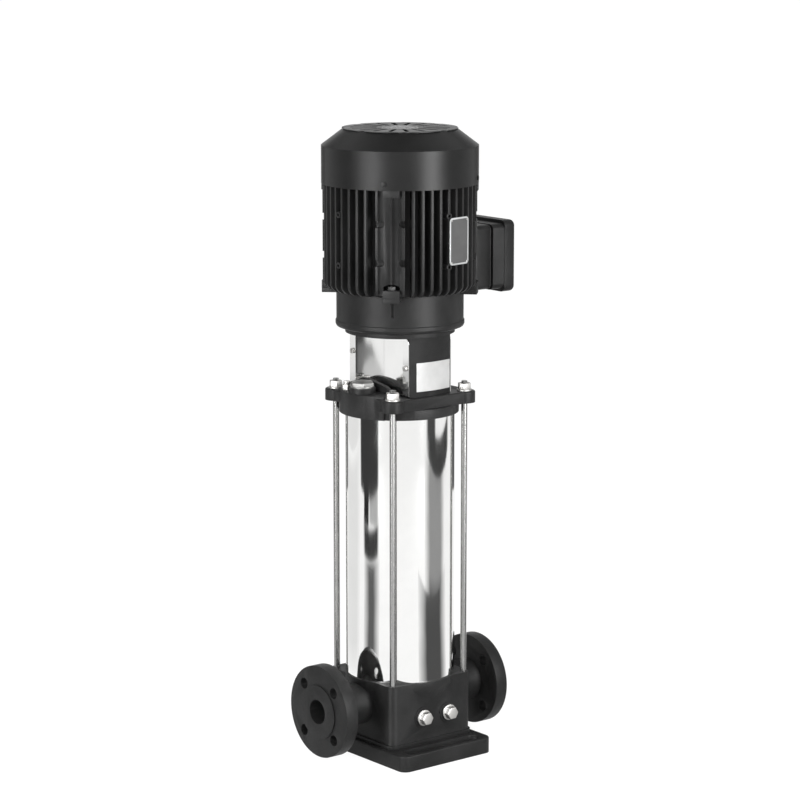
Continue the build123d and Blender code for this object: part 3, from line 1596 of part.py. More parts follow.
# Cooling fan with straight blades on a disc
with BuildPart() as cooling_fan:
    with BuildSketch(Plane.XY.offset(fan_bottom)):
        Circle(fan_disc_radius)
    extrude(amount=fan_disc_thickness)
    with BuildSketch(Plane.XY.offset(fan_bottom)):
        Circle(fan_hub_radius)
    extrude(amount=fan_blade_height)
    with BuildSketch(Plane.XY.offset(fan_bottom)):
        with PolarLocations((fan_hub_radius + fan_radius) / 2 - 1, fan_blade_count):
            Rectangle(fan_radius - fan_hub_radius + 2, fan_blade_thickness)
    extrude(amount=fan_blade_height)
    with BuildSketch(Plane.XY.offset(fan_bottom)):
        Circle(tail_shaft_radius + running_clearance)
    extrude(amount=fan_blade_height, mode=Mode.SUBTRACT)

cooling_fan.part.label = "cooling_fan"
export_step(cooling_fan.part, "parts/cooling_fan.step")


# Fan cover: a pressed cap with a cone, radial air slots, a scalloped top plate and a round recess
recess_floor = cover_top - cover_recess_depth
cone_top = cover_top - cover_plate_thickness
notch_middle = cover_plate_radius - cover_notch_depth + cover_notch_radius

with BuildPart() as fan_cover:
    with BuildSketch(Plane.XZ):
        with BuildLine():
            Polyline(
                (0, recess_floor),
                (cover_recess_radius - 2, recess_floor),
                (cover_recess_radius, cone_top),
                (cover_top_radius, cone_top),
                (cover_radius, cover_shoulder),
                (cover_radius, cover_bottom),
                (cover_radius - cover_wall, cover_bottom),
                (cover_radius - cover_wall, cover_shoulder - 1),
                (cover_top_radius - 1, cone_top - cover_wall),
                (cover_recess_radius + cover_wall, cone_top - cover_wall),
                (cover_recess_radius, recess_floor - cover_wall),
                (0, recess_floor - cover_wall),
                close=True,
            )
        make_face()
    revolve(axis=Axis.Z)
    with BuildSketch(Plane.XY.offset(cone_top)):
        Circle(cover_plate_radius)
        Circle(cover_recess_radius, mode=Mode.SUBTRACT)
        with PolarLocations(notch_middle, cover_notch_count, cover_notch_angle):
            Circle(cover_notch_radius, mode=Mode.SUBTRACT)
    extrude(amount=cover_plate_thickness)
    with BuildSketch(Plane.XY.offset(cover_top)):
        with PolarLocations((cover_slot_inner + cover_slot_outer) / 2, cover_slot_count):
            SlotOverall(cover_slot_outer - cover_slot_inner, cover_slot_width)
    extrude(amount=-2 * cover_wall, mode=Mode.SUBTRACT)
    for angle in cover_screw_angles:
        with BuildSketch(Plane.YZ.rotated((0, 0, angle)).offset(tab_reach)):
            with Locations((0, cover_screw_level)):
                Circle(cover_screw_radius + seat_clearance)
        extrude(amount=2 * cover_wall, mode=Mode.SUBTRACT)

fan_cover.part.label = "fan_cover"
export_step(fan_cover.part, "parts/fan_cover.step")

with BuildPart() as fan_cover_screws:
    for angle in cover_screw_angles:
        radial_plane = Plane.YZ.rotated((0, 0, angle))
        with BuildSketch(radial_plane.offset(cover_tab_inner)):
            with Locations((0, cover_screw_level)):
                Circle(cover_screw_radius)
        extrude(amount=cover_radius - cover_tab_inner)
        with BuildSketch(radial_plane.offset(cover_radius)):
            with Locations((0, cover_screw_level)):
                Circle(cover_screw_head_radius)
        extrude(amount=cover_screw_head_height)

fan_cover_screws.part.label = "fan_cover_screws"
export_step(fan_cover_screws.part, "parts/fan_cover_screws.step")


# Terminal box: an open tray on the housing seat, a gasket and a deep lid
tray_width = 2 * box_seat_half_width
lid_width = 2 * box_lid_half_width
lid_height = box_seat_height + 2 * box_lid_margin
lid_corner = box_corner_radius + 2.0
frame_width = lid_width - 2 * box_lid_step
frame_height = box_seat_height + 2 * box_lid_step
lid_face = box_joint + box_gasket_thickness
lid_end = lid_face + box_lid_depth
post_y = box_seat_half_width - lid_screw_inset
post_z = box_seat_height / 2 - lid_screw_inset
post_places = [(sy * post_y, sz * post_z) for sy in (-1, 1) for sz in (-1, 1)]
entry_x = (box_face + box_joint) / 2
entry_places = [(entry_x, box_bottom + gland_height), (entry_x, box_bottom + blanking_height)]


def box_plane(x):
    """Return the plane across X at x, centred on the terminal box."""
    return Plane(origin=(x, 0, box_centre), x_dir=(0, 1, 0), z_dir=(1, 0, 0))


with BuildPart() as terminal_box:
    with BuildSketch(box_plane(box_face)):
        RectangleRounded(tray_width, box_seat_height, box_corner_radius)
    extrude(amount=box_neck_depth)
    with BuildSketch(box_plane(box_face + box_back_wall)):
        RectangleRounded(
            tray_width - 2 * box_wall, box_seat_height - 2 * box_wall, box_corner_radius - box_wall
        )
    extrude(amount=box_neck_depth, mode=Mode.SUBTRACT)
    with BuildSketch(box_plane(box_face)):
        with Locations(*post_places):
            Circle(box_post_radius)
    extrude(amount=box_neck_depth)
    with BuildSketch(box_plane(box_joint)):
        with Locations(*post_places):
            Circle(lid_screw_radius + seat_clearance)
    extrude(amount=-box_neck_depth / 2, mode=Mode.SUBTRACT)
    with BuildSketch(box_plane(box_face)):
        Circle(wire_hole_radius)
    extrude(amount=box_back_wall, mode=Mode.SUBTRACT)
    with BuildSketch(Plane.XZ.offset(-box_seat_half_width - 1)):
        with Locations(*entry_places):
            Circle(gland_radius + seat_clearance)
    extrude(amount=2 * box_wall, mode=Mode.SUBTRACT)

terminal_box.part.label = "terminal_box"
export_step(terminal_box.part, "parts/terminal_box.step")

with BuildPart() as terminal_box_gasket:
    with BuildSketch(box_plane(box_joint)):
        RectangleRounded(tray_width, box_seat_height, box_corner_radius)
        RectangleRounded(
            tray_width - 2 * box_wall,
            box_seat_height - 2 * box_wall,
            box_corner_radius - box_wall,
            mode=Mode.SUBTRACT,
        )
        with Locations(*post_places):
            Circle(box_post_radius)
        with Locations(*post_places):
            Circle(lid_screw_radius + seat_clearance, mode=Mode.SUBTRACT)
    extrude(amount=box_gasket_thickness)

terminal_box_gasket.part.label = "terminal_box_gasket"
export_step(terminal_box_gasket.part, "parts/terminal_box_gasket.step")

with BuildPart() as terminal_box_lid:
    with BuildSketch(box_plane(lid_face)):
        RectangleRounded(frame_width, frame_height, lid_corner)
    extrude(amount=box_lid_depth)
    with BuildSketch(box_plane(lid_end)):
        RectangleRounded(lid_width, lid_height, lid_corner)
    extrude(amount=-box_lid_rim_depth)
    fillet(terminal_box_lid.faces().sort_by(Axis.X)[-1].edges(), box_lid_edge_radius)
    with BuildSketch(box_plane(lid_face)):
        RectangleRounded(
            tray_width - 2 * box_wall, box_seat_height - 2 * box_wall, box_corner_radius - box_wall
        )
    extrude(amount=box_lid_depth - box_wall, mode=Mode.SUBTRACT)
    with BuildSketch(box_plane(lid_face)):
        with Locations(*post_places):
            Circle(box_post_radius)
    extrude(amount=box_lid_depth - box_wall)
    with BuildSketch(box_plane(lid_face)):
        with Locations(*post_places):
            Circle(lid_screw_radius + seat_clearance)
    extrude(amount=box_lid_depth, mode=Mode.SUBTRACT)

terminal_box_lid.part.label = "terminal_box_lid"
export_step(terminal_box_lid.part, "parts/terminal_box_lid.step")

with BuildPart() as lid_screws:
    with BuildSketch(box_plane(lid_end)):
        with Locations(*post_places):
            Circle(lid_screw_head_radius)
    extrude(amount=lid_screw_head_height)
    with BuildSketch(box_plane(lid_end)):
        with Locations(*post_places):
            Circle(lid_screw_radius)
    extrude(amount=-(lid_end - box_joint + box_neck_depth / 3))

lid_screws.part.label = "lid_screws"
export_step(lid_screws.part, "parts/lid_screws.step")

with BuildPart() as terminal_board:
    with BuildSketch(box_plane(box_face + box_back_wall)):
        Rectangle(board_width, board_height)
    extrude(amount=board_thickness)
    with BuildSketch(box_plane(box_face + box_back_wall + board_thickness)):
        with GridLocations(board_width / 3, board_height / 2, 3, 2):
            Circle(board_stud_radius)
    extrude(amount=board_stud_length)

terminal_board.part.label = "terminal_board"
export_step(terminal_board.part, "parts/terminal_board.step")


# Cable gland and blanking plug on the far side of the terminal box
def entry_plane(height):
    """Return the plane on the box's +Y side, centred on the entry at height."""
    return Plane(
        origin=(entry_x, box_seat_half_width, box_bottom + height),
        x_dir=(-1, 0, 0),
        z_dir=(0, 1, 0),
    )


with BuildPart() as cable_gland:
    with BuildSketch(entry_plane(gland_height)):
        RegularPolygon(gland_flats / 2, 6, major_radius=False)
    extrude(amount=gland_nut_height)
    with BuildSketch(entry_plane(gland_height).offset(gland_nut_height)):
        Circle(gland_flats / 2 - 1)
    extrude(amount=gland_length - gland_nut_height, taper=gland_taper)
    with BuildSketch(entry_plane(gland_height)):
        Circle(gland_radius)
    extrude(amount=-gland_shank)
    with BuildSketch(entry_plane(gland_height).offset(-gland_shank)):
        Circle(gland_bore_radius)
    extrude(amount=gland_shank + gland_length, mode=Mode.SUBTRACT)

cable_gland.part.label = "cable_gland"
export_step(cable_gland.part, "parts/cable_gland.step")

with BuildPart() as blanking_plug:
    with BuildSketch(entry_plane(blanking_height)):
        RegularPolygon(gland_flats / 2, 6, major_radius=False)
    extrude(amount=blanking_head_height)
    with BuildSketch(entry_plane(blanking_height)):
        Circle(gland_radius)
    extrude(amount=-gland_shank)

blanking_plug.part.label = "blanking_plug"
export_step(blanking_plug.part, "parts/blanking_plug.step")


# Bare nameplate on the fin tips, with four rivets
plate_turn = math.radians(nameplate_angle)
nameplate_plane = Plane(
    origin=(
        (fin_radius + nameplate_gap) * math.cos(plate_turn),
        (fin_radius + nameplate_gap) * math.sin(plate_turn),
        housing_bottom + nameplate_bottom + nameplate_height / 2,
    ),
    x_dir=(-math.sin(plate_turn), math.cos(plate_turn), 0),
    z_dir=(math.cos(plate_turn), math.sin(plate_turn), 0),
)
rivet_x = nameplate_width - 2 * rivet_inset
rivet_y = nameplate_height - 2 * rivet_inset

with BuildPart() as nameplate:
    with BuildSketch(nameplate_plane):
        RectangleRounded(nameplate_width, nameplate_height, nameplate_corner)
        with GridLocations(rivet_x, rivet_y, 2, 2):
            Circle(rivet_radius / 2 + seat_clearance, mode=Mode.SUBTRACT)
    extrude(amount=nameplate_thickness)

nameplate.part.label = "nameplate"
export_step(nameplate.part, "parts/nameplate.step")

with BuildPart() as nameplate_rivets:
    with BuildSketch(nameplate_plane.offset(nameplate_thickness)):
        with GridLocations(rivet_x, rivet_y, 2, 2):
            Circle(rivet_radius)
    extrude(amount=rivet_head)
    with BuildSketch(nameplate_plane.offset(nameplate_thickness)):
        with GridLocations(rivet_x, rivet_y, 2, 2):
            Circle(rivet_radius / 2)
    extrude(amount=-nameplate_thickness)

nameplate_rivets.part.label = "nameplate_rivets"
export_step(nameplate_rivets.part, "parts/nameplate_rivets.step")
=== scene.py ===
"""Looks of a vertical multistage pump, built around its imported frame."""

from __future__ import annotations

import json
import logging
import math
from dataclasses import dataclass
from enum import Enum
from typing import Any, Callable, Iterable, Sequence

import bmesh
import bpy
from mathutils import Matrix, Vector

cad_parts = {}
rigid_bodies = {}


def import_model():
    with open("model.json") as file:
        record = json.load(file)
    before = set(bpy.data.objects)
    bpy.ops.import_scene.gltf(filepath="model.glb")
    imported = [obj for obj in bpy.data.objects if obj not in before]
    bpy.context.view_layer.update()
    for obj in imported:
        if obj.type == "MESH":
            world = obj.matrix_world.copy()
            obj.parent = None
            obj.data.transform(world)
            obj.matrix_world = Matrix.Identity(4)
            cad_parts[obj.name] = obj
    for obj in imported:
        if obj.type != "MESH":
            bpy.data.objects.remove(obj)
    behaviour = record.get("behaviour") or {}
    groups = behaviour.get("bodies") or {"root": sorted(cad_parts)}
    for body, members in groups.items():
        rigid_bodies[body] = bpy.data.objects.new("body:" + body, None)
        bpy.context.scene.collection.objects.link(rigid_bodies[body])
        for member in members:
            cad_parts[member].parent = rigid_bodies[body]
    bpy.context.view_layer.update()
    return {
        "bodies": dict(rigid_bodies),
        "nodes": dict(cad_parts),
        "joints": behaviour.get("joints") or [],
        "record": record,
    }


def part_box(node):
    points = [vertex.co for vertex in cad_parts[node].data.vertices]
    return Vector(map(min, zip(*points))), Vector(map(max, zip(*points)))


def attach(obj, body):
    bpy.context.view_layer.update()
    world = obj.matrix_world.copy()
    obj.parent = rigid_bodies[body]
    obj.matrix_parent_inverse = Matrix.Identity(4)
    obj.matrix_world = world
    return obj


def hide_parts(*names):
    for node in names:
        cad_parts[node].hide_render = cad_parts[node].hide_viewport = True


LOG = logging.getLogger("pump")
MM = 0.001
WELD_GAP = 0.002 * MM
Point2 = tuple[float, float]
Stops = tuple[tuple[float, float], ...]
MOTTLE_STOPS: Stops = ((0.35, 0.0), (0.7, 1.0))
SPECK_STOPS: Stops = ((0.58, 0.0), (0.74, 1.0))
CLOUD_STOPS: Stops = ((0.4, 0.0), (0.75, 1.0))
MIX_FACTOR, MIX_LOW, MIX_HIGH, MIX_RESULT = 0, 6, 7, 2


class Slot(Enum):
    """Names of the record's material slots, listed beside each copy's finish."""

    CAST = "cast_black"
    MOTOR = "motor_black"
    COVER = "cover_black"
    MIRROR = "mirror_stainless"
    SATIN = "satin_stainless"
    GUARD = "guard_stainless"
    MACHINED = "machined_steel"
    ZINC = "fastener_zinc"
    DARK_STEEL = "fastener_steel"
    PLATE = "plate_metal"
    RUBBER = "seal_rubber"
    CARBIDE = "seal_carbide"
    CORE = "core_steel"
    COPPER = "winding_copper"
    FAN = "fan_plastic"
    GLAND = "gland_plastic"
    BOARD = "board_plastic"


def operator(operation: str, reflected: bool = False) -> Callable[[Number, Any], Number]:
    """Make a method of Number that adds a Math node for one of Python's operators.

    Args:
        operation: the Math node's operation.
        reflected: whether the other value comes first.

    Returns:
        The method.
    """

    def method(self: Number, other: Any) -> Number:
        """Return self and other sent through the Math node."""
        pair = (other, self) if reflected else (self, other)
        return self.compute(operation, *pair)

    return method


class Number:
    """A number socket of a shader tree that Python's operators extend with Math nodes."""

    __add__, __radd__ = operator("ADD"), operator("ADD", True)
    __sub__, __rsub__ = operator("SUBTRACT"), operator("SUBTRACT", True)
    __mul__, __rmul__ = operator("MULTIPLY"), operator("MULTIPLY", True)
    __truediv__, __rtruediv__ = operator("DIVIDE"), operator("DIVIDE", True)
    __pow__, __rpow__ = operator("POWER"), operator("POWER", True)
    at_least = operator("MAXIMUM")

    def __init__(self, tree: ShaderTree, socket: bpy.types.NodeSocket) -> None:
        """Wrap the output socket of a tree that carries the number."""
        self.tree = tree
        self.socket = socket

    def compute(self, operation: str, first: Any, second: Any) -> Number:
        """Add one Math node with two values or links and return its result."""
        node = self.tree.node("ShaderNodeMath", {"operation": operation}, {0: first, 1: second})
        return Number(self.tree, node.outputs[0])

    def absolute(self) -> Number:
        """Return the number without its sign."""
        return self.compute("ABSOLUTE", self, 0.0)

    def clamped(self) -> Number:
        """Return the number kept between 0 and 1."""
        return self.compute("MINIMUM", self.at_least(0.0), 1.0)


class ShaderTree:
    """A material's or the world's node tree with one method that adds any node."""

    def __init__(self, tree: bpy.types.NodeTree) -> None:
        """Empty the tree and keep it."""
        self.tree = tree
        tree.nodes.clear()

    def node(
        self,
        kind: str,
        settings: dict[str, Any] | None = None,
        sockets: dict[str | int, Any] | None = None,
    ) -> bpy.types.Node:
        """Add one node.

        Args:
            kind: the node's type name.
            settings: properties set before the sockets; "stops" fills a colour ramp.
            sockets: values or links by input name or index.

        Returns:
            The new node.
        """
        node = self.tree.nodes.new(kind)
        for key, value in (settings or {}).items():
            if key == "stops":
                self._fill_ramp(node.color_ramp, value)
            else:
                setattr(node, key, value)
        for key, value in (sockets or {}).items():
            target = node.inputs[key]
            if isinstance(value, Number):
                self.tree.links.new(value.socket, target)
            elif isinstance(value, bpy.types.NodeSocket):
                self.tree.links.new(value, target)
            else:
                target.default_value = value
        return node

    @staticmethod
    def _fill_ramp(ramp: bpy.types.ColorRamp, stops: Stops) -> None:
        """Give a ramp its grey stops.

        Args:
            ramp: the colour ramp.
            stops: pairs of position and level, at least two.
        """
        while len(ramp.elements) < len(stops):
            ramp.elements.new(0.5)
        for element, (place, level) in zip(ramp.elements, stops):
            element.position = place
            element.color = (level, level, level, 1.0)

    def number(
        self,
        kind: str,
        settings: dict[str, Any] | None = None,
        sockets: dict[str | int, Any] | None = None,
        output: str | int = 0,
    ) -> Number:
        """Add one node as node() does and return one of its outputs as a number."""
        return Number(self, self.node(kind, settings, sockets).outputs[output])

    def place(self, scale: Sequence[float] = (1.0, 1.0, 1.0)) -> bpy.types.NodeSocket:
        """Return the object's own coordinates, in metres, stretched by scale."""
        where = self.node("ShaderNodeTexCoord")
        mapped = self.node(
            "ShaderNodeMapping", None, {"Vector": where.outputs["Object"], "Scale": tuple(scale)}
        )
        return mapped.outputs[0]

    def noise(
        self,
        scale: float,
        detail: float = 3.0,
        roughness: float = 0.55,
        stretch: Sequence[float] = (1.0, 1.0, 1.0),
    ) -> Number:
        """Return a noise value between 0 and 1.

        Args:
            scale: cells in a metre.
            detail: octaves of finer noise.
            roughness: weight of the finer octaves.
            stretch: scale of the coordinates by axis.

        Returns:
            The noise.
        """
        sockets = {
            "Vector": self.place(stretch),
            "Scale": scale,
            "Detail": detail,
            "Roughness": roughness,
        }
        return self.number("ShaderNodeTexNoise", None, sockets, "Fac")

    def ramp(self, value: Number, stops: Stops) -> Number:
        """Return value sent through a ramp with these grey stops."""
        return self.number("ShaderNodeValToRGB", {"stops": stops}, {"Fac": value}, 0)

    def mix(self, factor: Any, low: Any, high: Any) -> bpy.types.NodeSocket:
        """Mix two colours.

        Args:
            factor: 0 gives low and 1 gives high.
            low: a colour or a link.
            high: a colour or a link.

        Returns:
            The mixed colour.
        """
        sockets = {MIX_FACTOR: factor, MIX_LOW: rgba(low), MIX_HIGH: rgba(high)}
        return self.node("ShaderNodeMix", {"data_type": "RGBA"}, sockets).outputs[MIX_RESULT]

    def bump(self, height: Number, depth: float) -> bpy.types.NodeSocket:
        """Return a bumped normal.

        Args:
            height: the height, 0 to 1.
            depth: the real depth of the bumps in metres.

        Returns:
            The normal.
        """
        sockets = {"Height": height, "Distance": depth, "Strength": 1.0}
        return self.node("ShaderNodeBump", None, sockets).outputs[0]


def rgba(colour: Any) -> Any:
    """Return a grey, a triple or a link as a Mix node takes it."""
    if isinstance(colour, (int, float)):
        return (colour, colour, colour, 1.0)
    if isinstance(colour, tuple) and len(colour) == 3:
        return (*colour, 1.0)
    return colour


class Finish:
    """A surface finish that makes one material and keeps it."""

    name: str

    def paint(self, tree: ShaderTree, shader: bpy.types.Node) -> None:
        """Link what changes over the surface into the shader; each finish says how.

        Args:
            tree: the material's tree.
            shader: its shader node.
        """
        raise NotImplementedError

    @staticmethod
    def link(
        tree: ShaderTree,
        shader: bpy.types.Node,
        colour: bpy.types.NodeSocket,
        rough: Number,
        normal: bpy.types.NodeSocket,
    ) -> None:
        """Link what varies over a surface into its shader.

        Args:
            tree: the material's tree.
            shader: its shader node.
            colour: the base colour.
            rough: the roughness.
            normal: the bumped normal.
        """
        for key, value in (("Base Color", colour), ("Roughness", rough.socket), ("Normal", normal)):
            tree.tree.links.new(value, shader.inputs[key])

    def material(self) -> bpy.types.Material:
        """Return the finish's material, made on first use."""
        found = bpy.data.materials.get(self.name)
        if found is not None:
            return found
        made = bpy.data.materials.new(self.name)
        made.use_nodes = True
        tree = ShaderTree(made.node_tree)
        shader = tree.node("ShaderNodeBsdfPrincipled")
        tree.node("ShaderNodeOutputMaterial", None, {"Surface": shader.outputs[0]})
        self.paint(tree, shader)
        return made

    def wear(self, *pieces: bpy.types.Object) -> None:
        """Give the finish to every material slot of the pieces."""
        for piece in pieces:
            if not piece.material_slots:
                piece.data.materials.append(self.material())
            for slot in piece.material_slots:
                slot.material = self.material()


@dataclass(frozen=True)
class BlackPaint(Finish):
    """Black paint over a casting or a sheet: grain, a faint mottle and dust in the colour.

    grain is the number of grain cells in a metre and grain_depth their depth in metres. A
    share says how much of the lighter shade comes from the mottle, an edge or a speck.
    """

    name: str
    shade: float = 0.012
    light_shade: float = 0.022
    roughness: float = 0.42
    roughness_swing: float = 0.12
    grain: float = 700.0
    grain_depth: float = 0.00025
    specular: float = 0.11
    grain_swing: float = 0.15
    mottle: float = 14.0
    mottle_share: float = 0.7
    edge_start: float = 0.515
    edge_gain: float = 14.0
    edge_share: float = 0.5
    speck_share: float = 0.3
    speck_gain: float = 1.7

    def paint(self, tree: ShaderTree, shader: bpy.types.Node) -> None:
        """Link colour, roughness and grain into the shader.

        Args:
            tree: the material's tree.
            shader: its shader node.
        """
        mottle = tree.noise(self.mottle, detail=4.0, roughness=0.6)
        grain = tree.noise(self.grain, detail=4.0, roughness=0.65)
        edge = tree.number("ShaderNodeNewGeometry", None, None, "Pointiness")
        # Sharp outer edges, found by pointiness, are made lighter.
        edge_lightening = ((edge - self.edge_start) * self.edge_gain).clamped() * self.edge_share
        blend = (tree.ramp(mottle, MOTTLE_STOPS) * self.mottle_share + edge_lightening).clamped()
        colour = tree.mix(blend, self.shade, self.light_shade)
        speck = tree.ramp(grain, SPECK_STOPS) * self.speck_share
        colour = self.add_painted_highlight(tree, tree.mix(speck, colour, self.light_shade * self.speck_gain))
        rough = self.roughness + (mottle - 0.5) * self.roughness_swing
        rough = rough + (grain - 0.5) * self.grain_swing
        self.link(tree, shader, colour, rough, tree.bump(grain, self.grain_depth))
        shader.inputs["Specular IOR Level"].default_value = self.specular

    def add_painted_highlight(self, tree: ShaderTree, colour: bpy.types.NodeSocket) -> bpy.types.NodeSocket:
        """Return the paint's colour; a finish with a painted highlight adds it here."""
        return colour


@dataclass(frozen=True)
class CapPaint(BlackPaint):
    """Paint of the fan cover, with a painted highlight: the floor of the round dimple in its top is
    coloured pale.
    """

    dimple_radius: float = 0.029
    dimple_height: float = 1.0
    painted_highlight_level: float = 0.3
    dimple_sharpness: float = 2000.0

    def add_painted_highlight(self, tree: ShaderTree, colour: bpy.types.NodeSocket) -> bpy.types.NodeSocket:
        """Mix the painted highlight on the dimple's floor into the paint.

        Args:
            tree: the material's tree.
            colour: the paint's colour.

        Returns:
            The colour with the painted highlight.
        """
        axes = tree.node("ShaderNodeSeparateXYZ", None, {0: tree.place()})
        x, y, z = (Number(tree, output) for output in axes.outputs)
        # Painted highlight: inside the dimple's radius and above its height the colour is mixed
        # towards a pale grey.
        from_rim = self.dimple_radius - (x * x + y * y) ** 0.5
        highlight_disc = (from_rim * self.dimple_sharpness).clamped()
        high = ((z - self.dimple_height) * self.dimple_sharpness).clamped()
        return tree.mix(highlight_disc * high, colour, self.painted_highlight_level)


@dataclass(frozen=True)
class BareMetal(Finish):
    """Bare metal with fine lines from polishing, drawing or turning.

    stretch stretches the lines: a small number along an axis makes them long that way.
    stain is the share of the tint that is left where the metal is dull.
    """

    name: str
    tint: tuple[float, float, float] = (0.78, 0.78, 0.77)
    roughness: float = 0.2
    roughness_swing: float = 0.1
    lines: float = 900.0
    line_depth: float = 0.00003
    stretch: tuple[float, float, float] = (1.0, 1.0, 0.04)
    stain: float = 0.85
    cloud: float = 22.0
    cloud_swing: float = 0.06

    def paint(self, tree: ShaderTree, shader: bpy.types.Node) -> None:
        """Link colour, roughness and lines into the shader.

        Args:
            tree: the material's tree.
            shader: its shader node.
        """
        lines = tree.noise(self.lines, roughness=0.6, stretch=self.stretch)
        cloud = tree.noise(self.cloud, detail=4.0)
        dull = tuple(part * self.stain for part in self.tint)
        colour = tree.mix(tree.ramp(cloud, CLOUD_STOPS), self.tint, dull)
        rough = self.roughness + (lines - 0.5) * self.roughness_swing
        rough = (rough + (cloud - 0.5) * self.cloud_swing).clamped()
        self.link(tree, shader, colour, rough, tree.bump(lines, self.line_depth))
        shader.inputs["Metallic"].default_value = 1.0


@dataclass(frozen=True)
class Moulded(Finish):
    """Rubber, plastic or film: one colour with a fine texture.

    mottle is the share of the colour that is left where the surface is dull.
    """

    name: str
    colour: tuple[float, float, float] = (0.03, 0.03, 0.03)
    roughness: float = 0.6
    texture: float = 1500.0
    depth: float = 0.00005
    mottle: float = 0.85
    cloud: float = 30.0
    cloud_swing: float = 0.15

    def paint(self, tree: ShaderTree, shader: bpy.types.Node) -> None:
        """Link colour, roughness and texture into the shader.

        Args:
            tree: the material's tree.
            shader: its shader node.
        """
        fine = tree.noise(self.texture)
        cloud = tree.noise(self.cloud)
        dull = tuple(part * self.mottle for part in self.colour)
        rough = self.roughness + (cloud - 0.5) * self.cloud_swing
        colour = tree.mix(cloud, self.colour, dull)
        self.link(tree, shader, colour, rough, tree.bump(fine, self.depth))


CAST_PAINT = BlackPaint("cast_paint", 0.011, 0.026, 0.46, grain=420.0, grain_depth=0.0005)
MOTOR_PAINT = BlackPaint("motor_paint", 0.011, 0.024, 0.42, grain=800.0, grain_depth=0.0002)
# The fan cover's paint carries a painted highlight on the floor of its dimple.
COVER_PAINT = CapPaint(
    "cover_paint", 0.009, 0.014, 0.36, 0.05, grain=1500.0, grain_depth=0.00006, specular=0.12
)
BOLT_PAINT = BlackPaint("painted_bolts", 0.03, 0.06, 0.4, grain=1200.0, grain_depth=0.00005)
SCREW_PAINT = BlackPaint("painted_screws", 0.01, 0.02, 0.4, grain=1200.0, grain_depth=0.00005)
SLEEVE_STEEL = BareMetal(
    "mirror_sleeve", (0.86, 0.86, 0.85), 0.055, 0.03, 260.0, 0.00001, (1.0, 1.0, 0.03), 0.97
)
ROD_STEEL = BareMetal("satin_rods", (0.31, 0.31, 0.305), 0.26, 0.12)
CHAMBER_STEEL = BareMetal("drawn_chambers", (0.7, 0.7, 0.69), 0.24, 0.12)
GUARD_STEEL = BareMetal("guard_sheet", (0.84, 0.84, 0.83), 0.08, 0.04, 900.0, 0.000002, stain=0.96)
ZINC = BareMetal("zinc_fasteners", (0.35, 0.345, 0.335), 0.46, 0.12, 1600.0, 0.00004, (1, 1, 1))
PLUG_METAL = BareMetal("filler_plug", (0.19, 0.19, 0.185), 0.46, 0.12, 1600.0, 0.00004, (1, 1, 1))
DARK_STEEL = BareMetal("dark_fasteners", (0.1, 0.1, 0.105), 0.42, 0.12, 1600.0, 0.00005, (1, 1, 1))
MACHINED = BareMetal("machined_steel", (0.55, 0.55, 0.54), 0.3, 0.12, 1200.0)
PLATE_METAL = BareMetal("plate_metal", (0.62, 0.62, 0.6), 0.35, 0.1, 1500.0, stretch=(1, 1, 1))
PLATE_FIELD = Moulded("plate_field", (0.09, 0.09, 0.09), 0.45, 700.0, 0.00003, 0.4)
CARBIDE = BareMetal("seal_carbide", (0.2, 0.2, 0.21), 0.2, 0.05, 1200.0)
CORE_STEEL = BareMetal("core_laminations", (0.4, 0.4, 0.39), 0.45, 0.2, 2500.0, 0.0001, (0.1, 0.1, 1))
COPPER = BareMetal("winding_copper", (0.72, 0.33, 0.14), 0.35, 0.15, 900.0, 0.0004, (1, 1, 1))
RUBBER = Moulded("black_rubber", (0.02, 0.02, 0.02), 0.7)
FAN_PLASTIC = Moulded("fan_plastic", (0.03, 0.03, 0.032), 0.5)
GLAND_PLASTIC = Moulded("gland_plastic", (0.035, 0.035, 0.037), 0.45)
BOARD_PLASTIC = Moulded("board_plastic", (0.7, 0.66, 0.52), 0.4)
STICKER_FILM = Moulded("sticker_film", (0.62, 0.62, 0.615), 0.4, 400.0, 0.00002, 0.62)

NODE_FINISH: dict[str, Finish] = {
    node: finish
    for finish, nodes in (
        (DARK_STEEL, ("base_plate_screws", "stool_bolts", "end_shield_bolts", "coupling_screws")),
        (RUBBER, ("plug_gaskets", "sleeve_o_rings", "terminal_box_gasket")),
        (ZINC, ("staybolt_washers",)),
        (MACHINED, ("pump_shaft", "motor_shaft", "coupling_halves")),
        (MACHINED, ("bearing_outer_rings", "bearing_inner_rings")),
        (CARBIDE, ("seal_seat", "seal_ring")),
        (CORE_STEEL, ("stator_core", "rotor_core")),
        (COPPER, ("stator_windings",)),
        (BOARD_PLASTIC, ("terminal_board",)),
        (MOTOR_PAINT, ("upper_end_shield",)),
        (FAN_PLASTIC, ("cooling_fan",)),
    )
    for node in nodes
}


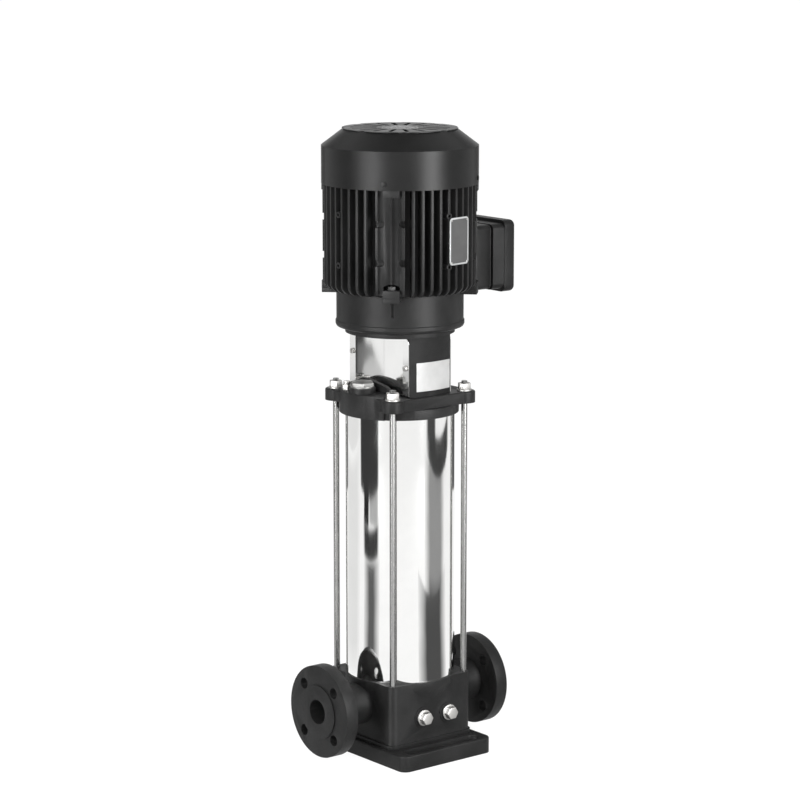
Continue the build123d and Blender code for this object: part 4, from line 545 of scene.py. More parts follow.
class Mesh:
    """Mesh building steps that the sub-assemblies share."""

    @staticmethod
    def keep(name: str, work: bmesh.types.BMesh) -> bpy.types.Object:
        """Turn a bmesh into an object in the scene, with its faces turned outward.

        Args:
            name: the piece's name.
            work: the mesh; it is freed.

        Returns:
            The new object.
        """
        bmesh.ops.recalc_face_normals(work, faces=work.faces)
        return Mesh.add(name, work)

    @staticmethod
    def add(name: str, work: bmesh.types.BMesh) -> bpy.types.Object:
        """Put a bmesh into the scene as it is.

        Args:
            name: the piece's name.
            work: the mesh; it is freed.

        Returns:
            The new object.
        """
        data = bpy.data.meshes.new(name)
        work.to_mesh(data)
        work.free()
        piece = bpy.data.objects.new(name, data)
        bpy.context.scene.collection.objects.link(piece)
        return piece

    @staticmethod
    def lathe(
        name: str, outline: Sequence[Point2], steps: int, at: Point2 = (0.0, 0.0)
    ) -> bpy.types.Object:
        """Turn a closed outline about a vertical axis.

        Args:
            name: the piece's name.
            outline: points of radius and height in metres, joined in a ring.
            steps: segments round the axis.
            at: where the axis stands.

        Returns:
            The turned piece.
        """
        work = bmesh.new()
        rings: list[list[bmesh.types.BMVert]] = []
        for radius, height in outline:
            if radius == 0:
                rings.append([work.verts.new((at[0], at[1], height))])
                continue
            ring = []
            for step in range(steps):
                turn = 2 * math.pi * step / steps
                ring.append(
                    work.verts.new(
                        (at[0] + radius * math.cos(turn), at[1] + radius * math.sin(turn), height)
                    )
                )
            rings.append(ring)
        for first, second in zip(rings, rings[1:] + rings[:1]):
            if len(first) == 1 and len(second) == 1:
                continue
            for step in range(steps):
                after = (step + 1) % steps
                if len(first) == 1:
                    work.faces.new((first[0], second[step], second[after]))
                elif len(second) == 1:
                    work.faces.new((first[step], first[after], second[0]))
                else:
                    work.faces.new((first[step], first[after], second[after], second[step]))
        return Mesh.keep(name, work)

    @staticmethod
    def prism(
        name: str, outline: Sequence[Point2], low: float, high: float, frame: Matrix
    ) -> bpy.types.Object:
        """Raise a closed outline from one height to another.

        Args:
            name: the piece's name.
            outline: points in the plane, in metres.
            low: the lower height.
            high: the upper height.
            frame: where the plane lies.

        Returns:
            The prism.
        """
        work = bmesh.new()
        bottom = [work.verts.new(frame @ Vector((x, y, low))) for x, y in outline]
        top = [work.verts.new(frame @ Vector((x, y, high))) for x, y in outline]
        work.faces.new(bottom)
        work.faces.new(top)
        for step in range(len(outline)):
            after = (step + 1) % len(outline)
            work.faces.new((bottom[step], bottom[after], top[after], top[step]))
        return Mesh.keep(name, work)

    @staticmethod
    def from_node(name: str, node: str, flat_angle: float = 1.5) -> bpy.types.Object:
        """Copy a node's shape with its flat faces whole again, ready for rounded edges.

        Args:
            name: the piece's name.
            node: the node to copy.
            flat_angle: faces that meet at less than this many degrees are joined.

        Returns:
            The copy.
        """
        work = bmesh.new()
        work.from_mesh(bpy.data.objects[node].data)
        bmesh.ops.remove_doubles(work, verts=work.verts, dist=WELD_GAP)
        bmesh.ops.dissolve_limit(
            work, angle_limit=math.radians(flat_angle), verts=work.verts, edges=work.edges
        )
        return Mesh.keep(name, work)

    @staticmethod
    def settle(piece: bpy.types.Object) -> bpy.types.Object:
        """Apply a piece's modifiers.

        Args:
            piece: the piece.

        Returns:
            The same piece with its final mesh.
        """
        graph = bpy.context.evaluated_depsgraph_get()
        data = bpy.data.meshes.new_from_object(piece.evaluated_get(graph))
        piece.modifiers.clear()
        piece.data = data
        return piece

    @staticmethod
    def join(name: str, parts: Sequence[bpy.types.Object]) -> bpy.types.Object:
        """Gather several meshes into one object.

        Args:
            name: the new piece's name.
            parts: the meshes; they are deleted.

        Returns:
            The joined piece.
        """
        work = bmesh.new()
        for part in parts:
            work.from_mesh(part.data)
            bpy.data.objects.remove(part)
        return Mesh.add(name, work)

    @staticmethod
    def soften(
        piece: bpy.types.Object, width: float, segments: int = 2, angle: float = 30.0
    ) -> bpy.types.Object:
        """Round a piece's edges and shade it smooth.

        Args:
            piece: the piece.
            width: the width of the rounding in metres.
            segments: faces across the rounding.
            angle: only edges sharper than this are rounded.

        Returns:
            The same piece with its final mesh.
        """
        if width > 0:
            bevel = piece.modifiers.new("edges", "BEVEL")
            bevel.width = width
            bevel.segments = segments
            bevel.limit_method = "ANGLE"
            bevel.angle_limit = math.radians(angle)
            bevel.use_clamp_overlap = True
            bevel.harden_normals = False
            Mesh.settle(piece)
        piece.data.shade_smooth()
        piece.data.set_sharp_from_angle(angle=math.radians(angle))
        return piece

    @staticmethod
    def round_shading(
        piece: bpy.types.Object,
        axis: Point2 = (0.0, 0.0),
        creased: bool = False,
        shortest: float = 4.0 * MM,
        widest: float = 9.0,
        lean: float = 0.1,
    ) -> None:
        """Shade the faces that turn about an upright axis as exactly round.

        Args:
            piece: the piece, already softened.
            axis: where the axis stands.
            creased: whether the flats beside the round faces are shaded as exactly flat.
            shortest: smaller faces, such as those of rounded edges, stay as they are.
            widest: faces that span more than this many degrees are flats.
            lean: faces that lean further than this from the way outward are flats.
        """
        data = piece.data
        foot = Vector(axis)
        normals = [corner.vector.copy() for corner in data.corner_normals]
        for face in data.polygons:
            spots = [data.vertices[index].co for index in face.vertices]
            middle = (face.center.xy - foot).normalized()
            spread = max(abs((spot.xy - foot).angle_signed(middle, 0.0)) for spot in spots)
            length = max((spot - spots[0]).length for spot in spots)
            if length < shortest:
                continue
            flat = 2 * spread > math.radians(widest) or abs(face.normal.xy.cross(middle)) > lean
            out = face.normal.xy.dot(middle)
            for loop, spot in zip(face.loop_indices, spots):
                away = (spot.xy - foot).normalized() * out
                if not flat:
                    normals[loop] = Vector((away.x, away.y, face.normal.z)).normalized()
                elif creased:
                    normals[loop] = face.normal.copy()
        data.normals_split_custom_set(normals)


def mount(
    piece: bpy.types.Object,
    finish: Finish,
    body: str = "root",
    nodes: Iterable[str] = (),
) -> bpy.types.Object:
    """Dress a piece, set it riding on its body and hide the nodes that it stands for.

    Args:
        piece: the piece.
        finish: its finish.
        body: the body that carries it.
        nodes: the nodes that it replaces.

    Returns:
        The same piece.
    """
    finish.wear(piece)
    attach(piece, body)
    names = tuple(nodes)
    if names:
        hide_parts(*names)
    LOG.info("%s on %s, %d faces", piece.name, body, len(piece.data.polygons))
    return piece


def rounded_box(
    width: float, depth: float, radius: float, steps: int = 6, centre: Point2 = (0.0, 0.0)
) -> list[Point2]:
    """Outline a rectangle with round corners.

    Args:
        width: its size along the first axis.
        depth: its size along the second axis.
        radius: its corner radius.
        steps: segments in each corner.
        centre: its centre.

    Returns:
        The outline's points, counter-clockwise.
    """
    points = []
    for quarter, (side_x, side_y) in enumerate(((1, 1), (-1, 1), (-1, -1), (1, -1))):
        corner_x = centre[0] + side_x * (width / 2 - radius)
        corner_y = centre[1] + side_y * (depth / 2 - radius)
        for step in range(steps + 1):
            turn = math.pi / 2 * (quarter + step / steps)
            points.append((corner_x + radius * math.cos(turn), corner_y + radius * math.sin(turn)))
    return points


def facing(origin: Sequence[float], turn: float) -> Matrix:
    """Return a frame whose Z points outward at turn about the pump's axis and whose Y is up.

    Args:
        origin: the frame's origin.
        turn: the angle from +X in radians.

    Returns:
        The frame.
    """
    out = Vector((math.cos(turn), math.sin(turn), 0.0))
    side = Vector((-math.sin(turn), math.cos(turn), 0.0))
    up = Vector((0.0, 0.0, 1.0))
    frame = Matrix((side, up, out)).transposed().to_4x4()
    frame.translation = Vector(origin)
    return frame


@dataclass(frozen=True)
class GuardArc:
    """The dished middle of a coupling guard: a shallow arc between two flat strips."""

    node: str
    side: int
    strip: float = 15.0 * MM
    dish: float = 6.0 * MM

    @property
    def face(self) -> float:
        """Return how far the flat strips' outer face stands from the pump's axis."""
        low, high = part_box(self.node)
        return max(abs(low.x), abs(high.x))

    @property
    def bend(self) -> float:
        """Return how far the bends stand from the guard's middle."""
        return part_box(self.node)[1].y - self.strip

    @property
    def radius(self) -> float:
        """Return the radius of the outer face's arc."""
        return (self.bend**2 + self.dish**2) / (2 * self.dish)

    @property
    def axis(self) -> Point2:
        """Return where the arc's upright axis stands, outside the guard."""
        return (self.side * (self.face - self.dish + self.radius), 0.0)

    def spot(self, y: float, z: float) -> tuple[Vector, Vector]:
        """Return a place on the outer face and the way that it faces there.

        Args:
            y: the place across the guard.
            z: its height.

        Returns:
            The place and the outward normal.
        """
        if abs(y) > self.bend:
            return Vector((self.side * self.face, y, z)), Vector((self.side, 0.0, 0.0))
        depth = math.sqrt(self.radius**2 - y**2)
        x = self.axis[0] - self.side * depth
        return Vector((x, y, z)), Vector((self.side * depth, -y, 0.0)) / self.radius


LEFT_GUARD = GuardArc("coupling_guard_left", -1)
RIGHT_GUARD = GuardArc("coupling_guard_right", 1)


@dataclass(frozen=True)
class Copy:
    """A node copied into the scene with rounded edges and a finish.

    edge is the width of its rounded edges and segments the faces across them. Its round
    faces are shaded as exactly round where axis is given, and its flats as flat if creased.
    """

    name: str
    node: str
    finish: Finish
    slot: Slot
    edge: float
    segments: int = 2
    body: str = "root"
    axis: Point2 | None = None
    creased: bool = False

    def build(self) -> None:
        """Build and dress the copy."""
        piece = Mesh.soften(Mesh.from_node(self.name, self.node), self.edge, self.segments)
        if self.axis is not None:
            Mesh.round_shading(piece, self.axis, self.creased)
        mount(piece, self.finish, self.body, nodes=(self.node,))


@dataclass
class PumpFoot:
    """Base plate, base casting with its flanges, and the front plugs."""

    edge: float = 1.6 * MM
    plug_edge: float = 0.8 * MM

    def build(self) -> None:
        """Build and dress the foot."""
        Copy("base_plate_casting", "base_plate", CAST_PAINT, Slot.CAST, self.edge, 3).build()
        Copy("base_bowl", "base_casting", CAST_PAINT, Slot.CAST, self.edge, 3).build()
        Copy("front_plugs", "drain_plugs", ZINC, Slot.ZINC, self.plug_edge).build()


@dataclass
class Sleeve:
    """Mirror-polished sleeve and the four staybolts with their nuts."""

    segments: int = 192
    wall: float = 2.5 * MM
    lip: float = 0.4 * MM
    rod_radius: float = 5.0 * MM
    rod_chamfer: float = 1.2 * MM
    rod_steps: int = 40
    rod_crease: float = 25.0
    thread_below: float = 3.0 * MM
    thread_end: float = 1.5 * MM
    thread_pitch: float = 1.5 * MM
    thread_depth: float = 0.45 * MM
    nut_edge: float = 0.9 * MM

    def build(self) -> None:
        """Build and dress the sleeve, the rods and the nuts."""
        low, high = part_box("outer_sleeve")
        outer = (high.x - low.x) / 2
        inner = outer - self.wall
        lip = self.lip
        outline = [
            (inner, low.z),
            (outer - lip, low.z),
            (outer, low.z + lip),
            (outer, high.z - lip),
            (outer - lip, high.z),
            (inner, high.z),
        ]
        tube = Mesh.soften(Mesh.lathe("polished_sleeve", outline, self.segments), 0.0)
        mount(tube, SLEEVE_STEEL, nodes=("outer_sleeve",))
        mount(self._rods(), ROD_STEEL, nodes=("staybolts",))
        Copy("rod_nuts", "staybolt_nuts", ZINC, Slot.ZINC, self.nut_edge, 3).build()

    def _rods(self) -> bpy.types.Object:
        """Return the four rods, threaded at the top where the nuts sit."""
        low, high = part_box("staybolts")
        nut_low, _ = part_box("staybolt_nuts")
        radius = self.rod_radius
        offset = high.x - radius
        outline = [(0.0, low.z), (radius, low.z)]
        height = nut_low.z - self.thread_below
        outline.append((radius, height))
        while height < high.z - self.thread_end:
            outline.append((radius - self.thread_depth, height + self.thread_pitch / 2))
            height += self.thread_pitch
            outline.append((radius, height))
        outline += [(radius - self.rod_chamfer, high.z), (0.0, high.z)]
        rods = []
        for side_x in (-1, 1):
            for side_y in (-1, 1):
                at = (side_x * offset, side_y * offset)
                rods.append(Mesh.lathe("rod", outline, self.rod_steps, at))
        return Mesh.soften(Mesh.join("staybolt_rods", rods), 0.0, angle=self.rod_crease)


@dataclass
class PumpTop:
    """Pump head with the priming plug and the vent valve."""

    edge: float = 1.4 * MM
    plug_edge: float = 0.9 * MM
    vent_edge: float = 0.5 * MM
    spindle_edge: float = 0.4 * MM

    def build(self) -> None:
        """Build and dress the head."""
        Copy("head_casting", "pump_head", CAST_PAINT, Slot.CAST, self.edge, 3).build()
        Copy("filler_plug", "priming_plug", PLUG_METAL, Slot.ZINC, self.plug_edge, 3).build()
        Copy("vent_valve", "vent_body", ZINC, Slot.ZINC, self.vent_edge).build()
        Copy("vent_screw", "vent_spindle", ZINC, Slot.ZINC, self.spindle_edge, body="vent").build()


@dataclass
class Stool:
    """Motor stool with its two guards and the bare sticker on its front pillar."""

    edge: float = 1.5 * MM
    guard_edge: float = 0.4 * MM
    screw_edge: float = 0.5 * MM
    face_edge: float = 76.0 * MM
    face_crown: float = 82.0 * MM
    face_half: float = 41.6 * MM
    sticker_left: float = -29.5 * MM
    sticker_right: float = 40.0 * MM
    sticker_low: float = 604.5 * MM
    sticker_high: float = 650.5 * MM
    sticker_film: float = 0.2 * MM
    sticker_sink: float = 0.05 * MM
    sticker_steps: int = 24
    sticker_crease: float = 35.0

    def build(self) -> None:
        """Build and dress the stool."""
        Copy("stool_casting", "motor_stool", CAST_PAINT, Slot.CAST, self.edge, 3).build()
        for name, arc in (("guard_sheet_left", LEFT_GUARD), ("guard_sheet_right", RIGHT_GUARD)):
            look = (GUARD_STEEL, Slot.GUARD, self.guard_edge)
            Copy(name, arc.node, *look, axis=arc.axis, creased=True).build()
        Copy("guard_screw_heads", "guard_screws", ZINC, Slot.ZINC, self.screw_edge).build()
        mount(self._sticker(), STICKER_FILM)

    def _face(self, x: float) -> float:
        """Return how far the crowned front face stands from the axis at x.

        Args:
            x: the place across the face.

        Returns:
            The distance in metres.
        """
        rise = self.face_crown - self.face_edge
        radius = (self.face_half**2 + rise**2) / (2 * rise)
        return self.face_crown - radius + math.sqrt(radius * radius - x * x)

    def _sticker(self) -> bpy.types.Object:
        """Return the bare film sheet that follows the front face."""
        work = bmesh.new()
        rows = []
        span = self.sticker_right - self.sticker_left
        for step in range(self.sticker_steps + 1):
            x = self.sticker_left + span * step / self.sticker_steps
            y = self._face(x)
            near, far = -(y + self.sticker_film), -(y - self.sticker_sink)
            rows.append(
                [
                    work.verts.new((x, near, self.sticker_low)),
                    work.verts.new((x, near, self.sticker_high)),
                    work.verts.new((x, far, self.sticker_high)),
                    work.verts.new((x, far, self.sticker_low)),
                ]
            )
        for row, after in zip(rows, rows[1:]):
            for corner in range(4):
                beyond = (corner + 1) % 4
                work.faces.new((row[corner], after[corner], after[beyond], row[beyond]))
        work.faces.new(rows[0])
        work.faces.new(rows[-1])
        return Mesh.soften(Mesh.keep("bare_sticker", work), 0.0, angle=self.sticker_crease)


@dataclass
class Motor:
    """Motor shell: bell, finned housing, lugs, cover, terminal box and nameplate."""

    edge: float = 1.2 * MM
    fin_edge: float = 0.9 * MM
    entry_edge: float = 0.7 * MM
    cover_edge: float = 0.6 * MM
    screw_edge: float = 0.5 * MM
    plate_edge: float = 0.3 * MM
    plate_turn: float = -80.5
    plate_width: float = 44.0 * MM
    plate_reach: float = 124.6 * MM
    field_inset: float = 2.6 * MM
    field_corner: float = 4.0 * MM
    field_film: float = 0.12 * MM

    def build(self) -> None:
        """Build and dress the motor."""
        paint = (MOTOR_PAINT, Slot.MOTOR)
        dark = Slot.DARK_STEEL
        axis = (0.0, 0.0)
        Copy("motor_bell", "motor_flange", *paint, self.edge, 3, axis=axis).build()
        Copy("finned_shell", "stator_housing", *paint, self.fin_edge).build()
        Copy("lug_bolts", "housing_bolts", BOLT_PAINT, dark, self.cover_edge).build()
        Copy("fan_cap", "fan_cover", COVER_PAINT, Slot.COVER, self.cover_edge, axis=axis).build()
        Copy("cap_screws", "fan_cover_screws", SCREW_PAINT, dark, self.screw_edge).build()
        Copy("box_tray", "terminal_box", *paint, self.edge, 3).build()
        Copy("box_lid", "terminal_box_lid", *paint, self.edge, 3).build()
        Copy("lid_screw_heads", "lid_screws", ZINC, Slot.ZINC, self.screw_edge).build()
        for name, node in (("gland_body", "cable_gland"), ("blank_cap", "blanking_plug")):
            Copy(name, node, GLAND_PLASTIC, Slot.GLAND, self.entry_edge).build()
        Copy("bare_plate", "nameplate", PLATE_METAL, Slot.PLATE, self.plate_edge).build()
        mount(self._field(), PLATE_FIELD)
        Copy("plate_rivets", "nameplate_rivets", ZINC, Slot.ZINC, self.plate_edge).build()

    def _field(self) -> bpy.types.Object:
        """Return the thin grey field in the middle of the nameplate, bare of any marks."""
        low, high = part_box("nameplate")
        turn = math.radians(self.plate_turn)
        reach = self.plate_reach
        middle = (reach * math.cos(turn), reach * math.sin(turn), (low.z + high.z) / 2)
        width = self.plate_width - 2 * self.field_inset
        height = high.z - low.z - 2 * self.field_inset
        outline = rounded_box(width, height, self.field_corner)
        film = self.field_film
        field = Mesh.prism("plate_field", outline, -film, film, facing(middle, turn))
        return Mesh.soften(field, 0.0)


@dataclass(frozen=True)
class Flag:
    """An upright dark panel that only reflections see.

    turn is its direction from the pump, in degrees to the right of the camera's; low and high
    are its heights and level is its brightness in the middle, where 1 is white.
    """

    name: str
    turn: float
    distance: float
    width: float
    low: float
    high: float
    level: float = 0.02
    soft: float = 0.35


@dataclass(frozen=True)
class FloorFlag:
    """A dark wedge on the floor that only reflections see.

    first and last are the turns of its sides, near and far its distances from the pump.
    near_level and far_level are the brightness that its two ends fade to, and rise is how
    far it lies over the other wedges.
    """

    name: str
    first: float
    last: float
    near: float
    far: float
    level: float = 0.05
    soft: float = 0.35
    near_soft: float = 0.2
    far_soft: float = 0.2
    near_level: float = 1.0
    far_level: float = 1.0
    rise: float = 0.0


@dataclass(frozen=True)
class Lamp:
    """A soft box that faces the pump.

    turn, distance and height say where it hangs, and power is in watts.
    """

    name: str
    turn: float
    distance: float
    height: float
    width: float
    length: float
    power: float


@dataclass(frozen=True)
class Card:
    """A small shape beside the pump that the guard's sheet mirrors.

    outline holds the points of its reflection on the sheet, along Y and Z in millimetres.
    """

    name: str
    x: float
    level: float
    outline: tuple[Point2, ...]


ARCH_RIM: tuple[Point2, ...] = ((47.0, 617.6), (42.0, 636.3), (29.0, 649.1), (14.7, 651.2))
ARCH: tuple[Point2, ...] = ((47.0, 600.0), *ARCH_RIM, (-12.0, 611.9), (-20.0, 600.0))
CRESCENT: tuple[Point2, ...] = (
    (57.0, 665.5),
    (42.0, 672.1),
    (25.4, 668.7),
    *reversed(ARCH_RIM),
    (57.0, 600.0),
)
STRIP: tuple[Point2, ...] = ((61.1, 590.0), (61.1, 690.0), (80.0, 690.0), (80.0, 590.0))


@dataclass
class Studio:
    """Pale floor, white surroundings, soft lights, dark flags and the camera."""

    camera_azimuth: float = math.radians(-38.62)
    camera_pitch: float = 0.18428
    camera_distance: float = 4.4853
    camera_height: float = 1.4131
    lens: float = 127.44
    sensor: float = 36.0
    far_clip: float = 100.0
    floor_half: float = 30.0
    floor_shade: float = 0.82
    floor_share: float = 0.86
    floor_glow: float = 1.11
    world_level: float = 0.5
    flag_lift: float = 0.004
    flag_wave: float = 0.3
    roof_side: float = 3.2
    roof_near: float = 0.9
    roof_height: float = 3.4
    roof_level: float = 0.05
    roof_soft: float = 0.3
    aim_height: float = 0.6
    gleam: float = 3.3
    lamps: tuple[Lamp, ...] = (
        Lamp("left", -43.0, 2.2, 1.05, 0.42, 1.7, 33.0),
        Lamp("right", 46.0, 2.2, 1.05, 0.42, 1.7, 34.0),
    )
    top_lamp: Lamp = Lamp("top", -20.0, 0.9, 2.9, 1.4, 1.4, 14.0)
    flags: tuple[Flag, ...] = (
        Flag("flag_left", -67.0, 1.8, 1.56, 0.045, 2.4, 0.045, 0.15),
        Flag("flag_right", 67.0, 2.2, 0.95, 0.1, 2.6, 0.07, 0.35),
        Flag("flag_right_low", 87.0, 2.2, 2.8, 0.0, 0.1, 0.055, 0.25),
        Flag("veil_left", -117.0, 2.5, 2.6, 0.0, 0.13, 0.86, 0.4),
        Flag("flag_far_left", -148.0, 2.0, 0.8, 0.0, 2.4, 0.1),
        Flag("flag_far_right", 148.0, 2.0, 0.8, 0.0, 2.4, 0.1),
    )
    cards: tuple[Card, ...] = (
        Card("card_crescent", -1.03, 0.2, CRESCENT),
        Card("card_arch", -1.035, 0.62, ARCH),
        Card("card_strip", -1.04, 0.7, STRIP),
    )
    floor_flags: tuple[FloorFlag, ...] = (
        FloorFlag("floor_left_line", -80.0, -67.0, 1.68, 2.3, 0.02, 0.2, 0.02, 0.02),
        FloorFlag("floor_left_pane", -67.0, -45.0, 1.72, 2.3, 0.5, 0.3, 0.02, 0.3),
        FloorFlag("floor_left_far", -81.0, -44.0, 1.37, 1.7, 0.04, 0.25, 0.04, 0.05),
        FloorFlag("floor_left", -79.0, -42.0, 0.5, 1.37, 0.13, 0.75, 0.1, 0.02),
        FloorFlag("veil_floor_left", -143.0, -91.0, 0.5, 2.4, 0.86, 0.4),
        FloorFlag("floor_right", 52.0, 104.0, 1.04, 2.3, 0.33, 0.5, 0.2, 0.02, near_level=0.085),
        FloorFlag(
            "floor_right_near", 37.0, 107.0, 0.3, 1.1, 0.085, 0.6, 0.1, far_level=0.1, rise=0.3 * MM
        ),
    )

    def build(self) -> None:
        """Build the floor, the world, the lights, the flags and the camera."""
        self._floor()
        self._world()
        self._lights()
        for flag in self.flags:
            self._hang(flag)
        for strip in self.floor_flags:
            self._lay(strip)
        for card in self.cards:
            self._pin(card)
        self._roof()
        self._camera()

    def toward(self, turn: float) -> Vector:
        """Return the level direction at turn degrees to the right of the camera's."""
        look = Vector((-math.sin(self.camera_azimuth), math.cos(self.camera_azimuth), 0.0))
        right = Vector((math.cos(self.camera_azimuth), math.sin(self.camera_azimuth), 0.0))
        angle = math.radians(turn)
        return -look * math.cos(angle) + right * math.sin(angle)

    @property
    def eye(self) -> Vector:
        """Return where the camera stands."""
        return self.toward(0.0) * self.camera_distance + Vector((0, 0, self.camera_height))

    @staticmethod
    def _panel(name: str, width: float, height: float) -> bpy.types.Object:
        """Make one flat panel that stands upright about its centre, facing its own Y axis.

        Args:
            name: the panel's name.
            width: its width in metres.
            height: its height in metres.

        Returns:
            The panel.
        """
        work = bmesh.new()
        sides = ((-1, -1), (1, -1), (1, 1), (-1, 1))
        work.faces.new(
            [work.verts.new((x * width / 2, 0.0, z * height / 2)) for x, z in sides]
        )
        panel = Mesh.keep(name, work)
        return panel

    def _floor(self) -> None:
        """Lay the floor, which the camera and reflections see as white with a faint shadow."""
        floor = self._panel("floor", 2 * self.floor_half, 2 * self.floor_half)
        floor.rotation_euler = (math.pi / 2, 0.0, 0.0)
        material = bpy.data.materials.new("pale_floor")
        material.use_nodes = True
        tree = ShaderTree(material.node_tree)
        matte = tree.node("ShaderNodeBsdfDiffuse", None, {"Color": rgba(self.floor_shade)})
        glow = tree.node(
            "ShaderNodeEmission", None, {"Color": rgba(1.0), "Strength": self.floor_glow}
        )
        share = self._seen(tree) * self.floor_share
        mixed = tree.node(
            "ShaderNodeMixShader", None, {0: share, 1: matte.outputs[0], 2: glow.outputs[0]}
        )
        tree.node("ShaderNodeOutputMaterial", None, {"Surface": mixed.outputs[0]})
        floor.data.materials.append(material)

    @staticmethod
    def _seen(tree: ShaderTree) -> Number:
        """Return 1 for what the camera, a reflection or a glass sees and 0 for other light."""
        path = tree.node("ShaderNodeLightPath")
        names = ("Is Camera Ray", "Is Glossy Ray", "Is Transmission Ray")
        first, second, third = (Number(tree, path.outputs[name]) for name in names)
        return (first + second + third).clamped()

    def _world(self) -> None:
        """Light the surroundings, white where the camera or a reflection sees them."""
        world = bpy.data.worlds.new("surroundings")
        bpy.context.scene.world = world
        world.use_nodes = True
        tree = ShaderTree(world.node_tree)
        level = self._seen(tree) * (1 - self.world_level) + self.world_level
        back = tree.node("ShaderNodeBackground", None, {"Color": rgba(1.0), "Strength": level})
        tree.node("ShaderNodeOutputWorld", None, {"Surface": back.outputs[0]})

    def _lights(self) -> None:
        """Hang two upright soft boxes beside the camera, each with its gleam, and one above."""
        for lamp in self.lamps:
            self._box(lamp, lamp.name, lamp.power)
            gleam = self._box(lamp, f"{lamp.name}_gleam", lamp.power * self.gleam)
            gleam.visible_diffuse = False
        top = self._box(self.top_lamp, self.top_lamp.name, self.top_lamp.power)
        top.visible_glossy = False

    def _box(self, lamp: Lamp, name: str, power: float) -> bpy.types.Object:
        """Hang one soft box that faces the pump's middle.

        Args:
            lamp: its place and size.
            name: the light's name.
            power: its power in watts.

        Returns:
            The light.
        """
        light = bpy.data.lights.new(name, "AREA")
        light.shape = "RECTANGLE"
        light.size = lamp.width
        light.size_y = lamp.length
        light.energy = power
        holder = bpy.data.objects.new(name, light)
        bpy.context.scene.collection.objects.link(holder)
        holder.location = self.toward(lamp.turn) * lamp.distance + Vector((0, 0, lamp.height))
        way = Vector((0, 0, self.aim_height)) - holder.location
        holder.rotation_euler = way.to_track_quat("-Z", "Y").to_euler()
        return holder

    @staticmethod
    def _glow(panel: bpy.types.Object, tree: ShaderTree, strength: Number | float) -> None:
        """Make a panel glow for reflections only.

        Args:
            panel: the panel.
            tree: its material's tree.
            strength: its brightness, where 1 is white.
        """
        glow = tree.node("ShaderNodeEmission", None, {"Color": rgba(1.0), "Strength": strength})
        tree.node("ShaderNodeOutputMaterial", None, {"Surface": glow.outputs[0]})
        panel.visible_camera = False
        panel.visible_diffuse = False
        panel.visible_shadow = False
        panel.visible_transmission = False

    @staticmethod
    def _own_tree(panel: bpy.types.Object) -> ShaderTree:
        """Give a panel a material of its own and return the material's tree."""
        material = bpy.data.materials.new(panel.name)
        material.use_nodes = True
        panel.data.materials.append(material)
        return ShaderTree(material.node_tree)

    def _wave(
        self, tree: ShaderTree, scale: float, stretch: Sequence[float] = (1.0, 1.0, 1.0)
    ) -> Number:
        """Return a slow wave about zero, scale to the metre, for the soft sides of a flag."""
        return tree.noise(scale, 2.0, 0.5, stretch) * self.flag_wave - self.flag_wave / 2

    def _dark(self, panel: bpy.types.Object, level: float, soft: float, width: float) -> None:
        """Make an upright panel dark with soft sides.

        Args:
            panel: the panel.
            level: the brightness of its middle.
            soft: the share of its half width over which it fades to white.
            width: its width in metres.
        """
        tree = self._own_tree(panel)
        where = tree.node("ShaderNodeTexCoord")
        axes = tree.node("ShaderNodeSeparateXYZ", None, {0: where.outputs["Object"]})
        wave = self._wave(tree, 2.4, (1.0, 1.0, 0.5))
        across = Number(tree, axes.outputs[0]).absolute()
        fade = (across * (2 / width) + wave - (1 - soft)) * (1 / soft)
        self._glow(panel, tree, fade.clamped() * (1 - level) + level)

    def _hang(self, flag: Flag) -> None:
        """Hang one upright flag.

        Args:
            flag: its place, size and darkness.
        """
        panel = self._panel(flag.name, flag.width, flag.high - flag.low)
        out = self.toward(flag.turn)
        panel.location = out * flag.distance + Vector((0, 0, (flag.low + flag.high) / 2))
        panel.rotation_euler = (0.0, 0.0, math.atan2(out.y, out.x) + math.pi / 2)
        self._dark(panel, flag.level, flag.soft, flag.width)

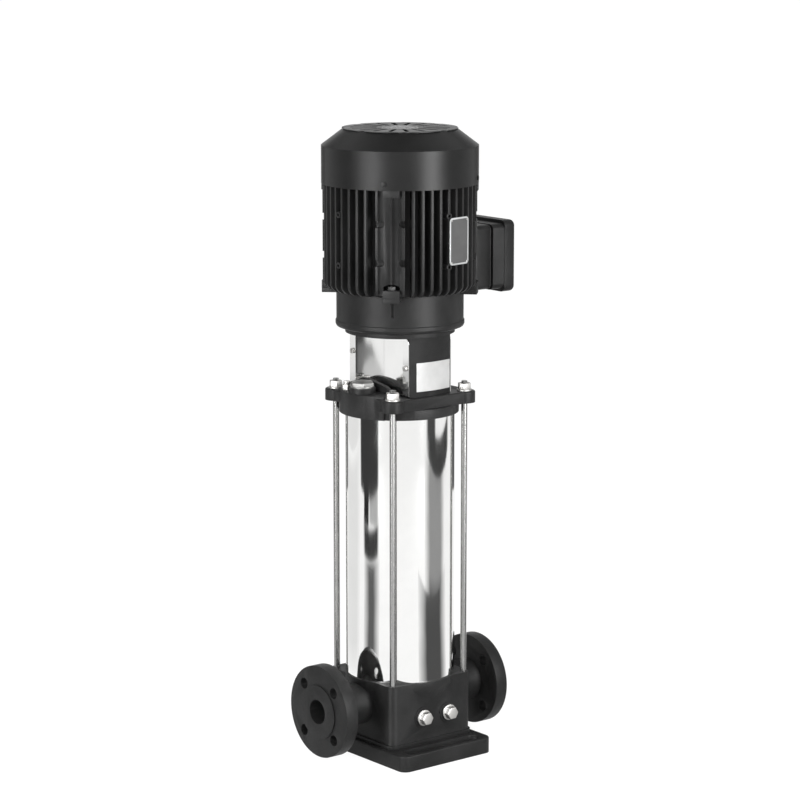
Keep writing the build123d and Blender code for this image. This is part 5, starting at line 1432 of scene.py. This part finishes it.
    def _lay(self, flag: FloorFlag) -> None:
        """Lay one wedge on the floor, soft at its sides and ends.

        Args:
            flag: its place, size and darkness.
        """
        slope = math.tan(math.radians(flag.last - flag.first) / 2)
        work = bmesh.new()
        corners = ((-1, flag.near), (1, flag.near), (1, flag.far), (-1, flag.far))
        work.faces.new([work.verts.new((side * slope * y, y, 0.0)) for side, y in corners])
        panel = Mesh.keep(flag.name, work)
        out = self.toward((flag.first + flag.last) / 2)
        panel.location = (0.0, 0.0, self.flag_lift + flag.rise)
        panel.rotation_euler = (0.0, 0.0, math.atan2(out.y, out.x) - math.pi / 2)
        tree = self._own_tree(panel)
        where = tree.node("ShaderNodeTexCoord")
        axes = tree.node("ShaderNodeSeparateXYZ", None, {0: where.outputs["Object"]})
        along = Number(tree, axes.outputs[1])
        across = (Number(tree, axes.outputs[0]) / along).absolute()
        wave = self._wave(tree, 3.0)
        sides = (across * (1 / slope) + wave - (1 - flag.soft)) * (1 / flag.soft)
        front = (flag.near + flag.near_soft - along) * (1 / flag.near_soft)
        back = (along - flag.far + flag.far_soft) * (1 / flag.far_soft)
        level = front.clamped() * (flag.near_level - flag.level) + flag.level
        level = back.clamped() * (flag.far_level - level) + level
        self._glow(panel, tree, sides.clamped() * (1 - level) + level)

    def _pin(self, card: Card) -> None:
        """Stand one card where the guard's sheet mirrors it to the camera.

        Args:
            card: its reflection's outline, place and brightness.
        """
        work = bmesh.new()
        corners = []
        for y, z in card.outline:
            spot, outward = LEFT_GUARD.spot(y * MM, z * MM)
            way = (spot - self.eye).reflect(outward)
            corners.append(work.verts.new(spot + way * ((card.x - spot.x) / way.x)))
        work.faces.new(corners)
        panel = Mesh.keep(card.name, work)
        self._glow(panel, self._own_tree(panel), card.level)

    def _roof(self) -> None:
        """Hang a dark panel over the pump, which keeps surfaces that face upward dark."""
        roof = self._panel("flag_roof", self.roof_side, self.roof_side)
        roof.location = self.toward(0.0) * self.roof_near + Vector((0, 0, self.roof_height))
        roof.rotation_euler = (math.pi / 2, 0.0, 0.0)
        self._dark(roof, self.roof_level, self.roof_soft, self.roof_side)

    def _camera(self) -> None:
        """Set the camera at the photo's viewing angle."""
        data = bpy.data.cameras.new("camera")
        data.sensor_width = self.sensor
        data.lens = self.lens
        data.clip_end = self.far_clip
        camera = bpy.data.objects.new("camera", data)
        bpy.context.scene.collection.objects.link(camera)
        look = -self.toward(0.0)
        camera.location = self.eye
        aim = look * math.cos(self.camera_pitch) - Vector((0, 0, 1)) * math.sin(self.camera_pitch)
        camera.rotation_euler = aim.to_track_quat("-Z", "Y").to_euler()
        bpy.context.scene.camera = camera


def dress_nodes(nodes: dict[str, bpy.types.Object]) -> None:
    """Give each of the frame's nodes its finish; the pieces then stand for some of them."""
    for name, node in nodes.items():
        NODE_FINISH.get(name, CHAMBER_STEEL).wear(node)


def main() -> None:
    """Build the pump's pieces in order, then the studio."""
    logging.basicConfig(level=logging.INFO, format="%(message)s")
    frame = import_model()
    dress_nodes(frame["nodes"])
    for assembly in (PumpFoot(), Sleeve(), PumpTop(), Stool(), Motor(), Studio()):
        assembly.build()
    bpy.context.scene.view_settings.view_transform = "Standard"


if __name__ == "__main__":
    main()
